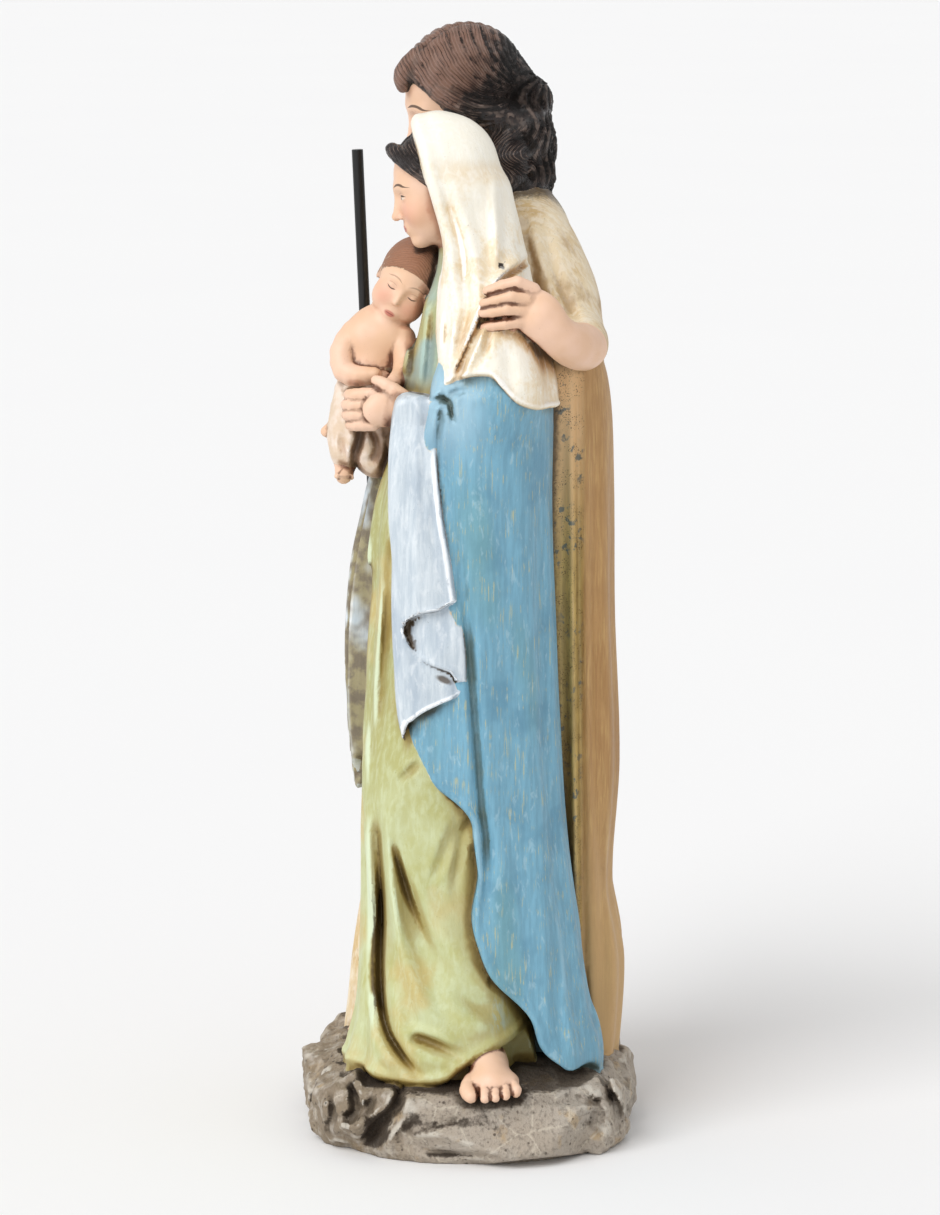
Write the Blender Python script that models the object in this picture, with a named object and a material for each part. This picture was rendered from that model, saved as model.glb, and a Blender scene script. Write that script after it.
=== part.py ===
"""A painted holy family group in cast resin: a bearded man, a veiled woman and a sleeping child on a rock, one casting, with a separate round staff."""

import math

import bpy
import numpy as np

# Sizes in metres
FIGURE_HEIGHT = 0.288
BASE_HEIGHT = 0.017
BASE_LEDGE = 0.006
STAFF_DIAMETER = 0.0032
STAFF_LENGTH = 0.254
STAFF_CLEARANCE = 0.0004
SOCKET_DEPTH = 0.003

# Fineness of the carving in carver's millimetres, and how many triangles are kept
GRAIN = 1.35
KEPT_TRIANGLES = 8800

# The carver's millimetre: the figures are 288 of them high and stand at 17, whatever their real height
UNIT = FIGURE_HEIGHT / 288.0
TOP = 17.0
FLOOR = TOP - BASE_HEIGHT / UNIT
SOLE = max(12.0, FLOOR + 2.0)
HEM = (55.0, 41.0)
LEDGE = BASE_LEDGE / UNIT
GRIP = STAFF_DIAMETER / 2 / UNIT


# Shaping tools
def smooth_min(a, b, blend):
    near = np.clip(1.0 - np.abs(a - b) / blend, 0.0, None)
    return np.minimum(a, b) - 0.25 * blend * near * near


def smooth_max(a, b, blend):
    return -smooth_min(-a, -b, blend)


def ramp(x, low, high):
    t = np.clip((x - low) / (high - low), 0.0, 1.0)
    return t * t * (3.0 - 2.0 * t)


def bump(x, centre, width):
    t = (x - centre) / width
    return np.exp(-t * t)


def curve(knots, values, x):
    """A smooth curve through a few values, level past its ends."""
    k = np.asarray(knots, float)
    v = np.asarray(values, float)
    h = np.diff(k)
    s = np.diff(v) / h
    inner = (s[1:] * h[:-1] + s[:-1] * h[1:]) / (h[:-1] + h[1:])
    inner = np.where(s[1:] * s[:-1] <= 0, 0.35 * inner, inner)
    m = np.concatenate([s[:1], inner, s[-1:]])
    x = np.clip(x, k[0], k[-1])
    i = np.clip(np.searchsorted(k, x) - 1, 0, len(h) - 1)
    t = (x - k[i]) / h[i]
    t2 = t * t
    t3 = t2 * t
    start = (2 * t3 - 3 * t2 + 1) * v[i] + (t3 - 2 * t2 + t) * h[i] * m[i]
    return start + (3 * t2 - 2 * t3) * v[i + 1] + (t3 - t2) * h[i] * m[i + 1]


def facing(yaw, pitch, roll, lean=0.0):
    """Axes of a head as columns side, forward, up. Yaw turns it to +X, pitch bows it, roll and lean tip its crown."""
    a, b, c, e = np.radians([yaw, pitch, roll, lean])
    forward = np.array([np.sin(a) * np.cos(b), -np.cos(a) * np.cos(b), -np.sin(b)])
    up = np.array([np.sin(a) * np.sin(b), -np.cos(a) * np.sin(b), np.cos(b)])
    side = np.array([np.cos(a), np.sin(a), 0.0])
    c += e
    return np.stack([np.cos(c) * side - np.sin(c) * up, forward, np.cos(c) * up + np.sin(c) * side], axis=1)


def ball(p, centre, radii):
    r = np.asarray(radii, float)
    q = (p - np.asarray(centre, float)) / r
    far = np.sqrt((q * q).sum(1))
    q = q / r
    return far * (far - 1.0) / np.maximum(np.sqrt((q * q).sum(1)), 1e-6)


def limb(p, start, end, start_radius, end_radius):
    a = np.asarray(start, float)
    ab = np.asarray(end, float) - a
    q = p - a
    t = np.clip(q @ ab / (ab @ ab), 0.0, 1.0)
    q = q - t[:, None] * ab
    return np.sqrt((q * q).sum(1)) - (start_radius + (end_radius - start_radius) * t)


def smooth_path(points, per_span):
    rows = np.asarray(points, float)
    k = np.arange(len(rows), dtype=float)
    t = np.linspace(0, len(rows) - 1, (len(rows) - 1) * per_span + 1)
    return np.stack([curve(k, rows[:, i], t) for i in range(rows.shape[1])], axis=1)


def strand(p, points, blend=0.0, per_span=2):
    """A round bar of changing thickness. Each point is x, y, z, radius."""
    rows = smooth_path(points, per_span) if len(points) > 2 else np.asarray(points, float)
    d = np.full(len(p), 1e3)
    for a, b in zip(rows[:-1], rows[1:]):
        e = limb(p, a[:3], b[:3], a[3], b[3])
        d = smooth_min(d, e, blend) if blend else np.minimum(d, e)
    return d


def column(p, rows):
    """A draped column. Each row is height, centre x, centre y, half width, reach forward, reach back."""
    r = np.asarray(rows, float)
    z = p[:, 2]
    cx, cy, wide, ahead, behind = (curve(r[:, 0], r[:, i], z) for i in range(1, 6))
    x = p[:, 0] - cx
    y = p[:, 1] - cy
    deep = np.where(y < 0, ahead, behind)
    far = np.hypot(x, y) + 1e-6
    share = np.hypot(x / wide, y / deep) + 1e-6
    return far - far / share, np.degrees(np.arctan2(x / wide, -y / deep))


def groove(t):
    return np.exp(-t * t) - 0.42 * (np.exp(-((t - 1.75) ** 2)) + np.exp(-((t + 1.75) ** 2)))


def pleats(turn, z, rows):
    """Valleys down a column. Each row is lowest z, highest z, turn low down, turn high up, half width, depth."""
    total = np.zeros(len(z))
    for low, high, first, last, width, depth in rows:
        share = np.clip((z - low) / (high - low), 0.0, 1.0)
        t = (turn - (first + (last - first) * share) + 180.0) % 360.0 - 180.0
        fade = ramp(z, low - 4, low + 4) * (1.0 - ramp(z, high - 0.35 * (high - low), high))
        total += depth * fade * groove(t / width)
    return total


def seam(a, b, points, width, depth, lip=0.0):
    """A crease along a line through points of the a-b plane. lip raises the side to the left of the line's run."""
    path = smooth_path(points, 3)
    best = np.full(len(a), 1e6)
    side = np.zeros(len(a))
    run = np.zeros(len(a))
    steps = len(path) - 1
    for i in range(steps):
        da, db = path[i + 1] - path[i]
        length = math.hypot(da, db)
        t = np.clip(((a - path[i, 0]) * da + (b - path[i, 1]) * db) / length ** 2, 0.0, 1.0)
        ua = a - path[i, 0] - t * da
        ub = b - path[i, 1] - t * db
        d2 = ua * ua + ub * ub
        nearer = d2 < best
        best = np.where(nearer, d2, best)
        side = np.where(nearer, np.sign(da * ub - db * ua), side)
        run = np.where(nearer, (i + t) / steps, run)
    far = np.sqrt(best)
    fade = ramp(run, 0.0, 0.22) * (1.0 - ramp(run, 0.78, 1.0))
    d = depth * np.maximum(groove(far / width), -0.3) * fade
    if lip:
        d -= lip * fade * (side > 0) * np.exp(-((far / (2.2 * width)) ** 2)) * ramp(far, 0, 0.8 * width)
    return d


def near(p, centre, reach):
    q = p - np.asarray(centre, float)
    return (q * q).sum(1) < reach * reach


def mirrored(q):
    m = q.copy()
    m[:, 0] = np.abs(m[:, 0])
    return m


# Head, in shares of its height, from the middle of the eye line
def head_skin(q, young=0.0):
    m = mirrored(q)
    d = ball(q, (0, -0.06 - 0.01 * young, 0.13), (0.335 + 0.03 * young, 0.43, 0.37))
    d = smooth_min(d, ball(q, (0, 0.12, -0.12), (0.272 + 0.02 * young, 0.268, 0.36 - 0.02 * young)), 0.10)
    d = smooth_min(d, ball(q, (0, 0.07, -0.27), (0.23 + 0.03 * young, 0.235, 0.20)), 0.08)
    cheek = (0.10 + 0.03 * young, 0.10 + 0.02 * young, 0.10 + 0.03 * young)
    d = smooth_min(d, ball(m, (0.155, 0.235, -0.145 - 0.03 * young), cheek), 0.10)
    d = smooth_min(d, ball(q, (0, 0.285, -0.415), (0.075 + 0.02 * young, 0.07, 0.065)), 0.09)
    d = smooth_min(d, limb(m, (0.03, 0.35, 0.075), (0.17, 0.30, 0.075), 0.035, 0.03), 0.07)
    d = smooth_max(d, -ball(m, (0.132, 0.425, 0.0), (0.085, 0.075, 0.05)), 0.06)
    d = smooth_min(d, ball(m, (0.132, 0.292, -0.004), (0.066, 0.07, 0.047)), 0.012)
    tip = 0.455 - 0.03 * young
    d = smooth_min(d, limb(q, (0, 0.365, 0.035), (0, tip, -0.165), 0.026 + 0.004 * young, 0.036), 0.035)
    d = smooth_min(d, ball(q, (0, tip + 0.007, -0.165), (0.038, 0.04, 0.033)), 0.02)
    d = smooth_min(d, ball(m, (0.042, tip - 0.05, -0.178), (0.026, 0.034, 0.023)), 0.018)
    d = smooth_min(d, ball(q, (0, 0.33, -0.28), (0.10, 0.07, 0.075)), 0.05)
    d = smooth_min(d, limb(m, (0.0, 0.388, -0.262), (0.062, 0.352, -0.272), 0.017, 0.010), 0.012)
    return smooth_min(d, limb(m, (0.0, 0.384, -0.302), (0.052, 0.352, -0.292), 0.021, 0.012), 0.012)


def ears(q):
    m = mirrored(q)
    d = ball(m, (0.335, -0.02, -0.06), (0.035, 0.06, 0.095))
    return smooth_max(d, -ball(m, (0.375, 0.0, -0.05), (0.025, 0.03, 0.055)), 0.02)


def hair_cap(q, line, puff, strands, ripple, knot=(-0.42, -0.05)):
    """Hair combed from a centre parting to a gathering at the nape. line is the hairline's forward, brow and ear."""
    m = mirrored(q)
    d = ball(q, (0, -0.075, 0.125), (0.345 + puff, 0.43 + puff, 0.385 + puff))
    turn = np.arctan2(m[:, 2] - knot[1], m[:, 1] - knot[0])
    run = np.hypot(m[:, 2] - knot[1], m[:, 1] - knot[0])
    wave = np.sin(strands * turn + 3.2 * run + 2.5 * np.sin(3.1 * turn) + 4 * m[:, 0])
    fine = np.sin(2.7 * strands * turn + 5 * run)
    d = d - ripple * (0.7 * wave + 0.3 * fine) * ramp(m[:, 0], 0.01, 0.09)
    d = d + 0.03 * bump(q[:, 0], 0.0, 0.022) * (q[:, 2] > 0)
    ahead, brow, ear = line
    edge = brow + (ear - brow) * ramp(m[:, 0], 0.02, 0.33)
    return smooth_max(d, (edge - q[:, 2]) * 0.8 + (q[:, 1] - ahead) * 0.62, 0.03)


def hand(p, wrist, along, back, length, curl, thumb):
    """A hand with four fingers and a thumb. curl is the bend at the knuckles and at each joint in degrees."""
    along = np.asarray(along, float) / np.linalg.norm(along)
    back = np.asarray(back, float) - np.dot(back, along) * along
    back /= np.linalg.norm(back)
    axes = np.stack([thumb * np.cross(back, along), along, back], axis=1)
    q = (p - np.asarray(wrist, float)) @ axes / length
    d = ball(q, (0.0, 0.26, 0.0), (0.215, 0.30, 0.11))
    d = smooth_min(d, ball(q, (0.02, 0.36, 0.0), (0.235, 0.20, 0.095)), 0.05)
    d = smooth_min(d, limb(q, (0, -0.35, 0.0), (0, 0.1, 0), 0.165, 0.15), 0.10)
    for i, full in enumerate((0.46, 0.52, 0.48, 0.36)):
        lean = 0.075 - 0.05 * i
        point = np.array([0.165 - 0.11 * i, 0.47 - 0.035 * abs(i - 1.2), 0.01])
        rows = [[*point, 0.068]]
        for k, share in enumerate((0.45, 0.31, 0.24)):
            bend = np.radians(curl[0] + curl[1] * k)
            point = point + full * share * np.array([lean, np.cos(bend), -np.sin(bend)])
            rows.append([*point, 0.054 - 0.008 * k])
        d = smooth_min(d, strand(q, rows, per_span=1), 0.025)
    rows = [[0.15, 0.14, -0.03, 0.085], [0.27, 0.34, -0.09, 0.07], [0.29, 0.52, -0.13, 0.058]]
    return smooth_min(d, strand(q, rows, per_span=1), 0.05) * length


# Places and tables, in carver's millimetres; the figures stand on the rock at 17
WOMAN_HEAD = dict(place=(17.5, -8.3, 262.0), axes=facing(4, 16, 0), size=30.5)
MAN_HEAD = dict(place=(-19.0, -3.2, 283.8), axes=facing(10, 22, 15), size=36.5)
CHILD_HEAD = dict(place=(8.5, -16.6, 235.0), axes=facing(78, 12, 22), size=24.5)
STAFF_TOP = (-45.0, -31.8, 267.2)
STAFF_FOOT = (-51.0, -21.5, 17.0)

DRESS = [
    [14, 22, -4, 25.5, 31.5, 23], [24, 22, -4, 25.0, 30.5, 22], [37, 22, -4, 23.5, 27.5, 21],
    [64, 21, -4, 22.0, 26.0, 20], [101, 20, -4, 21.0, 26.0, 19], [145, 19, -3, 20.0, 25.0, 18],
    [176, 19, -2, 18.0, 23.5, 15], [200, 20, -1, 18.0, 17.5, 14], [214, 20, -1, 18.0, 16.5, 13],
    [226, 20, 0, 15.5, 13.5, 12], [238, 19, 0, 9.0, 9.5, 9], [250, 18, -2, 6.0, 6.0, 7],
]
MANTLE = [
    [14, 24, 4, 22.5, 30, 32.5], [24, 24, 4, 22.5, 30, 33], [40, 24, 3, 22.0, 30, 30.5],
    [54, 24, 2, 22.0, 30, 29.0], [82, 23, 2, 22.0, 30, 25.0], [123, 22, 2, 22.8, 30, 21.8],
    [150, 22, 2, 23.2, 30, 20.8], [178, 22, 2, 22.8, 26, 20.2], [204, 22, 2, 22.6, 22, 20.4],
    [216, 22, 2, 20.5, 16, 17.0], [228, 21, 2, 15.0, 12, 12.5], [240, 19, 0, 8.0, 8, 8.0],
]
VEIL = [
    [200, 22, 3, 25.8, 15.0, 21.6], [212, 22, 3, 25.4, 14.5, 20.2], [222, 22, 3, 23.8, 13.5, 18.0],
    [234, 21, 2.5, 19.8, 12.5, 15.2], [246, 19.5, 1, 16.0, 12.5, 14.0], [256, 18.3, -2, 14.2, 13.5, 14.4],
    [266, 18, -4.5, 13.0, 13.5, 14.2],
]
TUNIC = [
    [14, -27, 4, 25.5, 40.0, 30], [24, -27, 4, 25.0, 38.5, 30], [40, -27, 4, 24.5, 37.0, 30],
    [64, -27, 5, 24.0, 34.5, 29], [101, -26, 6, 24.0, 30.5, 28], [145, -26, 7, 24.0, 27.5, 27],
    [176, -26, 8, 24.0, 25.0, 26], [205, -26, 9, 25.0, 22.0, 24], [226, -25, 10, 25.5, 19.0, 22],
    [240, -24, 11, 21.0, 15.5, 18.5], [252, -21, 9, 12.0, 11.5, 15.5], [262, -20, 7, 8.5, 9.0, 11.0],
]
CLOAK = [
    [14, -25, 8, 31.0, 34.0, 33], [24, -25, 8, 30.5, 32.0, 34], [44, -25, 8, 29.5, 30.0, 35],
    [67, -25, 8, 28.5, 28.0, 31.5], [102, -25, 8, 28.5, 27.0, 33.0], [144, -25, 8, 28.5, 26.0, 31.5],
    [180, -25, 8, 29.0, 25.0, 31.0], [205, -25, 9, 30.5, 23.0, 29.0], [226, -25, 10, 30.0, 19.0, 25.0],
    [240, -24, 11, 25.0, 15.5, 20.0], [252, -22, 10, 14.0, 11.0, 15.0],
]
DRAPE = [
    [14, 0, 26, 15.0, 16, 15.5], [24, 0, 26, 15.0, 16, 16.5], [44, 0, 26, 14.5, 16, 17.5],
    [67, 1, 25, 14.0, 16, 15.0], [102, 2, 25, 14.0, 16, 16.8], [144, 2, 24, 14.0, 16, 16.3],
    [180, 2, 23, 14.5, 16, 16.8], [200, 2, 22, 15.0, 16, 17.0], [212, 3, 21, 15.0, 15, 16.0],
    [222, 4, 20, 12.0, 12, 13.0],
]
FALL = [
    [92, -3, -18, 5.0, 14.0, 8], [115, -3, -17, 6.0, 17.0, 9], [145, -4, -16, 6.5, 17.5, 10],
    [173, -4, -14, 7.5, 15.0, 10], [190, -4, -11, 8.0, 13.0, 10],
]


UPPER_ARM = [(34.0, 5, 221, 9.5), (35.2, 8, 209, 10.4)]
FOREARM = [(34, 1, 202, 10.2), (31, -8, 201.8, 7.6), (30, -12.5, 202.4, 6.2)]


def woman_robes(p):
    x, y, z = p.T
    dress, turn = column(p, DRESS)
    dress += pleats(turn, z, [
        (17, 150, 8, 4, 9, 2.2), (17, 120, 30, 12, 9, 2.4), (17, 165, -14, -6, 9, 2.2),
        (17, 150, -36, -20, 9, 2.4), (17, 170, -60, -50, 10, 2.0), (110, 200, 24, 14, 7, 1.1),
    ])
    dress = smooth_min(dress, ball(p, (31, -14, 97), (10.0, 12.5, 27)), 9.0)
    side = ramp(x, 12, 24)
    dress += side * seam(
        y, z, [(-25.5, 102), (-25, 91), (-23.5, 73), (-20.8, 54), (-17.9, 36), (-14, 22)], 2.0, 3.0,
    )
    dress += side * seam(y, z, [(-24, 94), (-21, 80), (-15, 64), (-4.8, 47), (9, 39)], 2.3, 1.7)
    dress += side * seam(y, z, [(-7, 86), (-11.3, 69), (-9.0, 56)], 2.2, 0.9)
    dress += side * seam(y, z, [(-18, 28), (-10.7, 30.5), (-3, 25)], 1.6, 1.3)
    dress = smooth_max(dress, z - 246, 2)

    mantle, turn = column(p, MANTLE)
    mantle += pleats(turn, z, [
        (14, 200, 152, 148, 9, 1.5), (14, 210, 172, 172, 9, 1.7), (14, 200, -168, -166, 9, 1.6),
        (14, 200, -146, -148, 9, 1.5),
    ])
    mantle += side * seam(
        y, z, [(14, 26), (8, 56), (4, 84), (-0.5, 112), (-5.5, 160), (-6.5, 190)], 2.4, 1.0,
    )
    mantle += side * seam(y, z, [(24, 20), (16, 56), (11, 110), (9.5, 180)], 3.4, 0.7)
    mantle = smooth_min(mantle, strand(p, UPPER_ARM + FOREARM, 2.0), 5.0)
    mantle += side * seam(y, z, [(-2, 206), (-7.0, 201), (-8.5, 192)], 1.3, 1.0)
    mantle += side * seam(y, z, [(-10.5, 203), (-7, 199.5), (-2, 196)], 1.1, 0.7)
    edge = curve(
        (14, 27, 37.6, 47, 58, 66, 80, 88, 95.6, 104, 112, 130, 205, 225),
        (27, 22.7, 18, 9.6, 3.2, 1.4, 1.6, 1.6, -1.5, -9.5, -16, -15.5, -11, -6), z,
    )
    front = 6.0 + (edge - 6.0) * ramp(x, 12, 22) - y
    mantle = smooth_max(mantle, front, 1.0)
    other = strand(
        p,
        [
            (3, 3, 222, 9.5), (-3, 4, 207, 10), (-5.5, -4, 196, 9.2), (-3.5, -16, 189.5, 7.6),
            (1, -25.5, 186.5, 6.0),
        ],
        2.0,
    )
    other += 0.5 * np.sin(0.8 * z - 0.5 * y)
    mantle = smooth_min(mantle, other, 2.5)
    mantle = smooth_max(mantle, z - 236, 3)

    fall, turn = column(p, FALL)
    fall += pleats(
        turn, z, [(92, 205, 2, 10, 11, 1.6), (92, 205, 42, 34, 11, 1.5), (92, 205, -40, -30, 11, 1.5)],
    )
    fall = smooth_max(fall, 97 + 5 * np.sin(0.75 * x + 0.35 * y) - z, 1.0)
    fall = smooth_max(fall, z - 191, 4)
    return {
        "dress": smooth_max(dress, SOLE - z, 1), "mantle": smooth_max(mantle, SOLE - z, 1),
        "lining": smooth_min(fall, cascade(p), 0.5),
    }


def cascade(p):
    """The turned edge of her mantle, falling in a zigzag from the left forearm."""
    x, y, z = p.T
    face = curve((106, 125, 150, 180, 200), (42.0, 44.2, 45.2, 43.0, 37.5), z)
    face = face - 0.028 * (y + 9) ** 2 - 1.3 * bump(
        y, -18.0, 1.3,
    ) + 0.7 * bump(y, -14.5, 2.0) - 0.5 * bump(y, -10.5, 1.5)
    left = curve((108, 118, 128, 157, 202, 208), (-15.6, -17.8, -19.4, -21.0, -20.6, -19.0), z) - y
    right = y - curve((108, 124, 128, 133, 153, 180, 204), (-9, -4.0, -3.0, -3.6, -4.2, -7.8, -10.4), z)
    hem = 112.0 + 10.5 * ramp(y, -17, -11) + 6.5 * ramp(y, -10, -2.5) - z
    d = smooth_max(x - face, 0.95 * left, 1.6)
    d = smooth_max(d, 0.95 * right, 1.2)
    d = smooth_max(d, 0.85 * hem, 0.7)
    d = smooth_max(d, z - 207.5, 3)
    d = smooth_max(d, face - 12 - x, 1)
    top = 144.5 + 8.0 * ramp(y, -18.5, -5.0)
    bottom = 142.0 - 8.5 * ramp(y, -17.5, -6.0)
    pocket = np.maximum(np.maximum(z - top, bottom - z), -17.6 - y)
    pocket = smooth_max(pocket, face - 3.6 + 1.6 * ramp(y, -14, -8) - x, 0.6)
    return smooth_max(d, -0.85 * pocket, 0.6)


def veil_cloth(p):
    x, y, z = p.T
    q = (p - np.array(WOMAN_HEAD["place"])) @ WOMAN_HEAD["axes"] / WOMAN_HEAD["size"]
    hood = ball(q, (0, -0.11, 0.12), (0.43, 0.47, 0.49)) * WOMAN_HEAD["size"]
    fall, turn = column(p, VEIL)
    shell = smooth_min(hood, smooth_max(fall, z - 264, 4), 6.0)
    shell = smooth_min(shell, strand(p, UPPER_ARM, 2.0) - 1.4, 3.0)
    d = shell.copy()
    side = ramp(x, 20, 26)
    d += side * seam(y, z, [(-3.0, 212), (-2.8, 222), (-1.0, 236), (-3.5, 252), (-7.5, 266)], 2.2, 1.5)
    d += side * seam(y, z, [(6, 224), (7.5, 240), (4, 258)], 1.8, 0.7)
    d += side * seam(y, z, [(11, 203), (9, 216), (8, 226)], 2.0, 0.8)
    d += side * seam(y, z, [(-6.6, 207), (-4.0, 221), (1.3, 235), (7.5, 240), (14, 245)], 1.4, 0.7, lip=1.1)
    d += pleats(
        turn, z,
        [(203, 254, 150, 158, 11, 1.3), (203, 254, 178, 180, 11, 1.4), (203, 254, -155, -162, 11, 1.3)],
    )
    lower = curve((-12, -7, 0, 8, 15, 22, 27), (207, 209, 211.5, 211.5, 208, 204, 203), y)
    d = smooth_max(d, (lower - z) * 0.9, 1.0)
    edge = curve((203, 221, 236, 246, 262, 272, 280), (-8.8, -7.4, -8.4, -9.6, -13.0, -15.2, -17.6), z)
    d = smooth_max(d, edge - y, 1.4)
    hollow = smooth_max(shell + 2.3, y - edge - 6.5, 1.0)
    return smooth_max(d, -hollow, 0.8)


def woman_skin(p):
    q = (p - np.array(WOMAN_HEAD["place"])) @ WOMAN_HEAD["axes"] / WOMAN_HEAD["size"]
    head = head_skin(q) * WOMAN_HEAD["size"]
    return smooth_min(head, limb(p, (17.5, -4, 254), (18.5, 0, 238), 5.6, 6.8), 2.0)


def woman_hand(p):
    d = hand(p, (30.0, -14.6, 202.0), (-0.22, -0.93, 0.27), (0.93, -0.15, 0.33), 18.5, (22, 27), -1.0)
    return smooth_min(d, limb(p, (30, -10, 202), (29.5, -17, 202.5), 4.4, 3.3), 1.5)


def woman_right_hand(p):
    return hand(p, (1.5, -27.0, 186.0), (0.86, -0.42, 0.30), (0.25, -0.3, -0.95), 15.0, (6, 12), 1.0)


def woman_foot(p):
    d = strand(p, [(40, 4, 25, 6.0), (47, 5, 23.5, 5.4), (51.5, 6, 21.5, 4.0)], 1.0)
    for i in range(5):
        tip = (56.0 - 0.22 * (i - 0.6) ** 2, 0.2 + 2.75 * i, 19.7 + 0.15 * i)
        d = smooth_min(d, limb(p, (50.0, 1.6 + 2.3 * i, 21.8 + 0.2 * i), tip, 1.8, 1.75 - 0.15 * i), 0.5)
    return d


def child_body(p):
    q = (p - np.array(CHILD_HEAD["place"])) @ CHILD_HEAD["axes"] / CHILD_HEAD["size"]
    size = CHILD_HEAD["size"]
    skin = smooth_min(head_skin(q, 1.0) * size, ears(q) * size, 0.4)
    skin = smooth_min(skin, limb(p, (8, -20.5, 228), (7.5, -24.5, 223), 4.6, 5.6), 1.2)
    torso = strand(p, [(7.5, -25.5, 221.5, 7.4), (8, -26, 215, 8.0), (8.5, -26, 208, 8.6)], 2.0)
    torso = smooth_min(torso, ball(p, (9.5, -29.8, 220), (6.0, 6.6, 5.6)), 3)
    torso = smooth_min(torso, ball(p, (10, -21.5, 220), (6.0, 6.0, 5.6)), 3)
    skin = smooth_min(skin, torso, 1.2)
    skin = smooth_min(
        skin,
        strand(
            p,
            [
                (8.5, -32.0, 221, 4.2), (11, -34.4, 216, 4.0), (13.5, -34.0, 211.6, 3.5),
                (17, -30.0, 210.4, 3.0), (18.5, -26, 210.9, 2.3),
            ],
            0.6,
        ),
        0.8,
    )
    skin = smooth_min(
        skin, hand(p, (18.6, -26.0, 210.8), (0.1, 0.97, -0.2), (0.9, 0, 0.35), 6.6, (14, 18), 1.0), 0.4,
    )
    skin = smooth_min(
        skin, strand(p, [(12, -18.5, 220, 3.8), (16, -17.5, 215, 3.3), (18, -19.5, 211, 2.7)], 0.6), 0.8,
    )
    skin = smooth_min(
        skin, strand(p, [(12, -34.5, 190, 2.8), (13.5, -34.2, 184.5, 2.6), (17, -34.4, 183.0, 2.2)], 0.6),
        0.6,
    )
    for i in range(5):
        toe = (19.0 - 0.25 * i, -36.2 + 1.05 * i, 183.3 - 0.12 * i)
        skin = smooth_min(skin, ball(p, toe, (1.0, 0.72 - 0.06 * i, 0.8)), 0.25)
    skin = smooth_min(skin, strand(p, [(9, -36, 196, 2.4), (11, -39.2, 194.5, 1.6)], 0.5), 0.5)
    cloth = strand(
        p, [(8, -25.5, 209, 9.6), (9, -27.5, 203, 9.4), (11, -30.5, 196, 7.4), (12.5, -33.4, 189, 5.0)],
        2.0,
    )
    cloth = smooth_min(
        cloth, strand(p, [(8, -23.5, 204, 8.0), (12, -23.5, 193, 6.4), (12, -24, 186, 4.6)], 1.0), 2.0,
    )
    z = p[:, 2]
    y = p[:, 1]
    cloth += 0.45 * np.sin(1.15 * z + 0.35 * y + 0.9 * np.sin(0.5 * y)) * ramp(z, 200, 206)
    cloth += 0.5 * np.sin(0.9 * y - 0.25 * z) * (1 - ramp(z, 198, 206))
    hair = hair_cap(q, (0.36, 0.40, 0.02), 0.03, 17, 0.008) * size
    return {"skin": skin, "child_hair": hair, "swaddle": cloth}


def man_robes(p):
    x, y, z = p.T
    tunic, turn = column(p, TUNIC)
    tunic += pleats(turn, z, [
        (17, 190, -4, -2, 9, 2.4), (17, 200, 22, 12, 9, 2.2), (17, 190, -30, -18, 9, 2.4),
        (17, 180, -56, -40, 9, 2.0), (60, 225, 10, 6, 9, 1.5), (60, 225, -16, -10, 9, 1.5),
    ])
    tunic = smooth_max(tunic, z - 262, 2)
    cloak, turn = column(p, CLOAK)
    cloak += pleats(turn, z, [
        (14, 225, 172, 172, 7, 1.8), (14, 225, -170, -168, 7, 1.8), (14, 220, -148, -146, 7, 2.0),
        (14, 225, -124, -122, 7, 1.8), (14, 220, -100, -98, 7, 2.0), (14, 225, 152, 150, 7, 1.6),
    ])
    right = curve((14, 60, 120, 180, 225, 250), (-45, -44, -44, -42, -36, -30), z)
    reach = curve((14, 80, 150, 190), (-9, -10, -14, -18), z)
    region = smooth_min(2 - y, smooth_max(x - right, reach - y, 1.5), 3)
    cloak = smooth_max(cloak, region, 1.0)
    cloak = smooth_max(cloak, z - 250, 3)
    drape, turn = column(p, DRAPE)
    side = ramp(x, 2, 10)
    drape += side * seam(
        y, z, [(33.5, 12), (31.5, 60), (30.2, 120), (29.4, 205), (29.4, 219)], 1.3, 1.3, lip=-0.01,
    )
    drape += side * seam(y, z, [(27, 28), (25.2, 120), (24.8, 202)], 1.6, 0.8)
    drape += side * seam(y, z, [(38, 20), (35, 110), (34, 205)], 1.8, 0.6)
    drape += pleats(turn, z, [(14, 215, 165, 165, 14, 1.6), (14, 215, -165, -165, 14, 1.4)])
    cloak = smooth_min(cloak, smooth_max(drape, z - 221, 2), 3)
    shoulders = strand(
        p,
        [
            (-44, 9, 240, 12.5), (-24, 12.5, 246, 13.5), (-4, 15, 243, 13.5), (2, 21, 231, 13.2),
            (7, 24, 221.5, 11.8),
        ],
        3,
    )
    shoulders = smooth_min(shoulders, strand(p, [(6, 27, 223, 9.5), (19, 32, 219.5, 8.2)], 1), 2)
    shoulders += 0.4 * np.sin(0.42 * z + 0.30 * y) * ramp(x, -20, -6)
    tunic = smooth_min(tunic, shoulders, 5)
    sleeve = strand(
        p,
        [
            (-46, 9, 240, 12.5), (-52, 7, 224, 10.5), (-53.5, 3, 207, 9.8), (-52.5, -5, 197, 9.0),
            (-50.5, -13, 193.0, 7.4),
        ],
        2,
    )
    sleeve += 0.5 * np.sin(0.65 * z + 0.8 * y) * ramp(-y, -12, 8)
    cloak = smooth_min(cloak, sleeve, 3.5)
    return {"tunic": smooth_max(tunic, SOLE - z, 1), "cloak": smooth_max(cloak, SOLE - z, 1)}


def staff_at(z):
    t = (z - STAFF_FOOT[2]) / (STAFF_TOP[2] - STAFF_FOOT[2])
    return np.array([a + (b - a) * t for a, b in zip(STAFF_FOOT, STAFF_TOP)])


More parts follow.
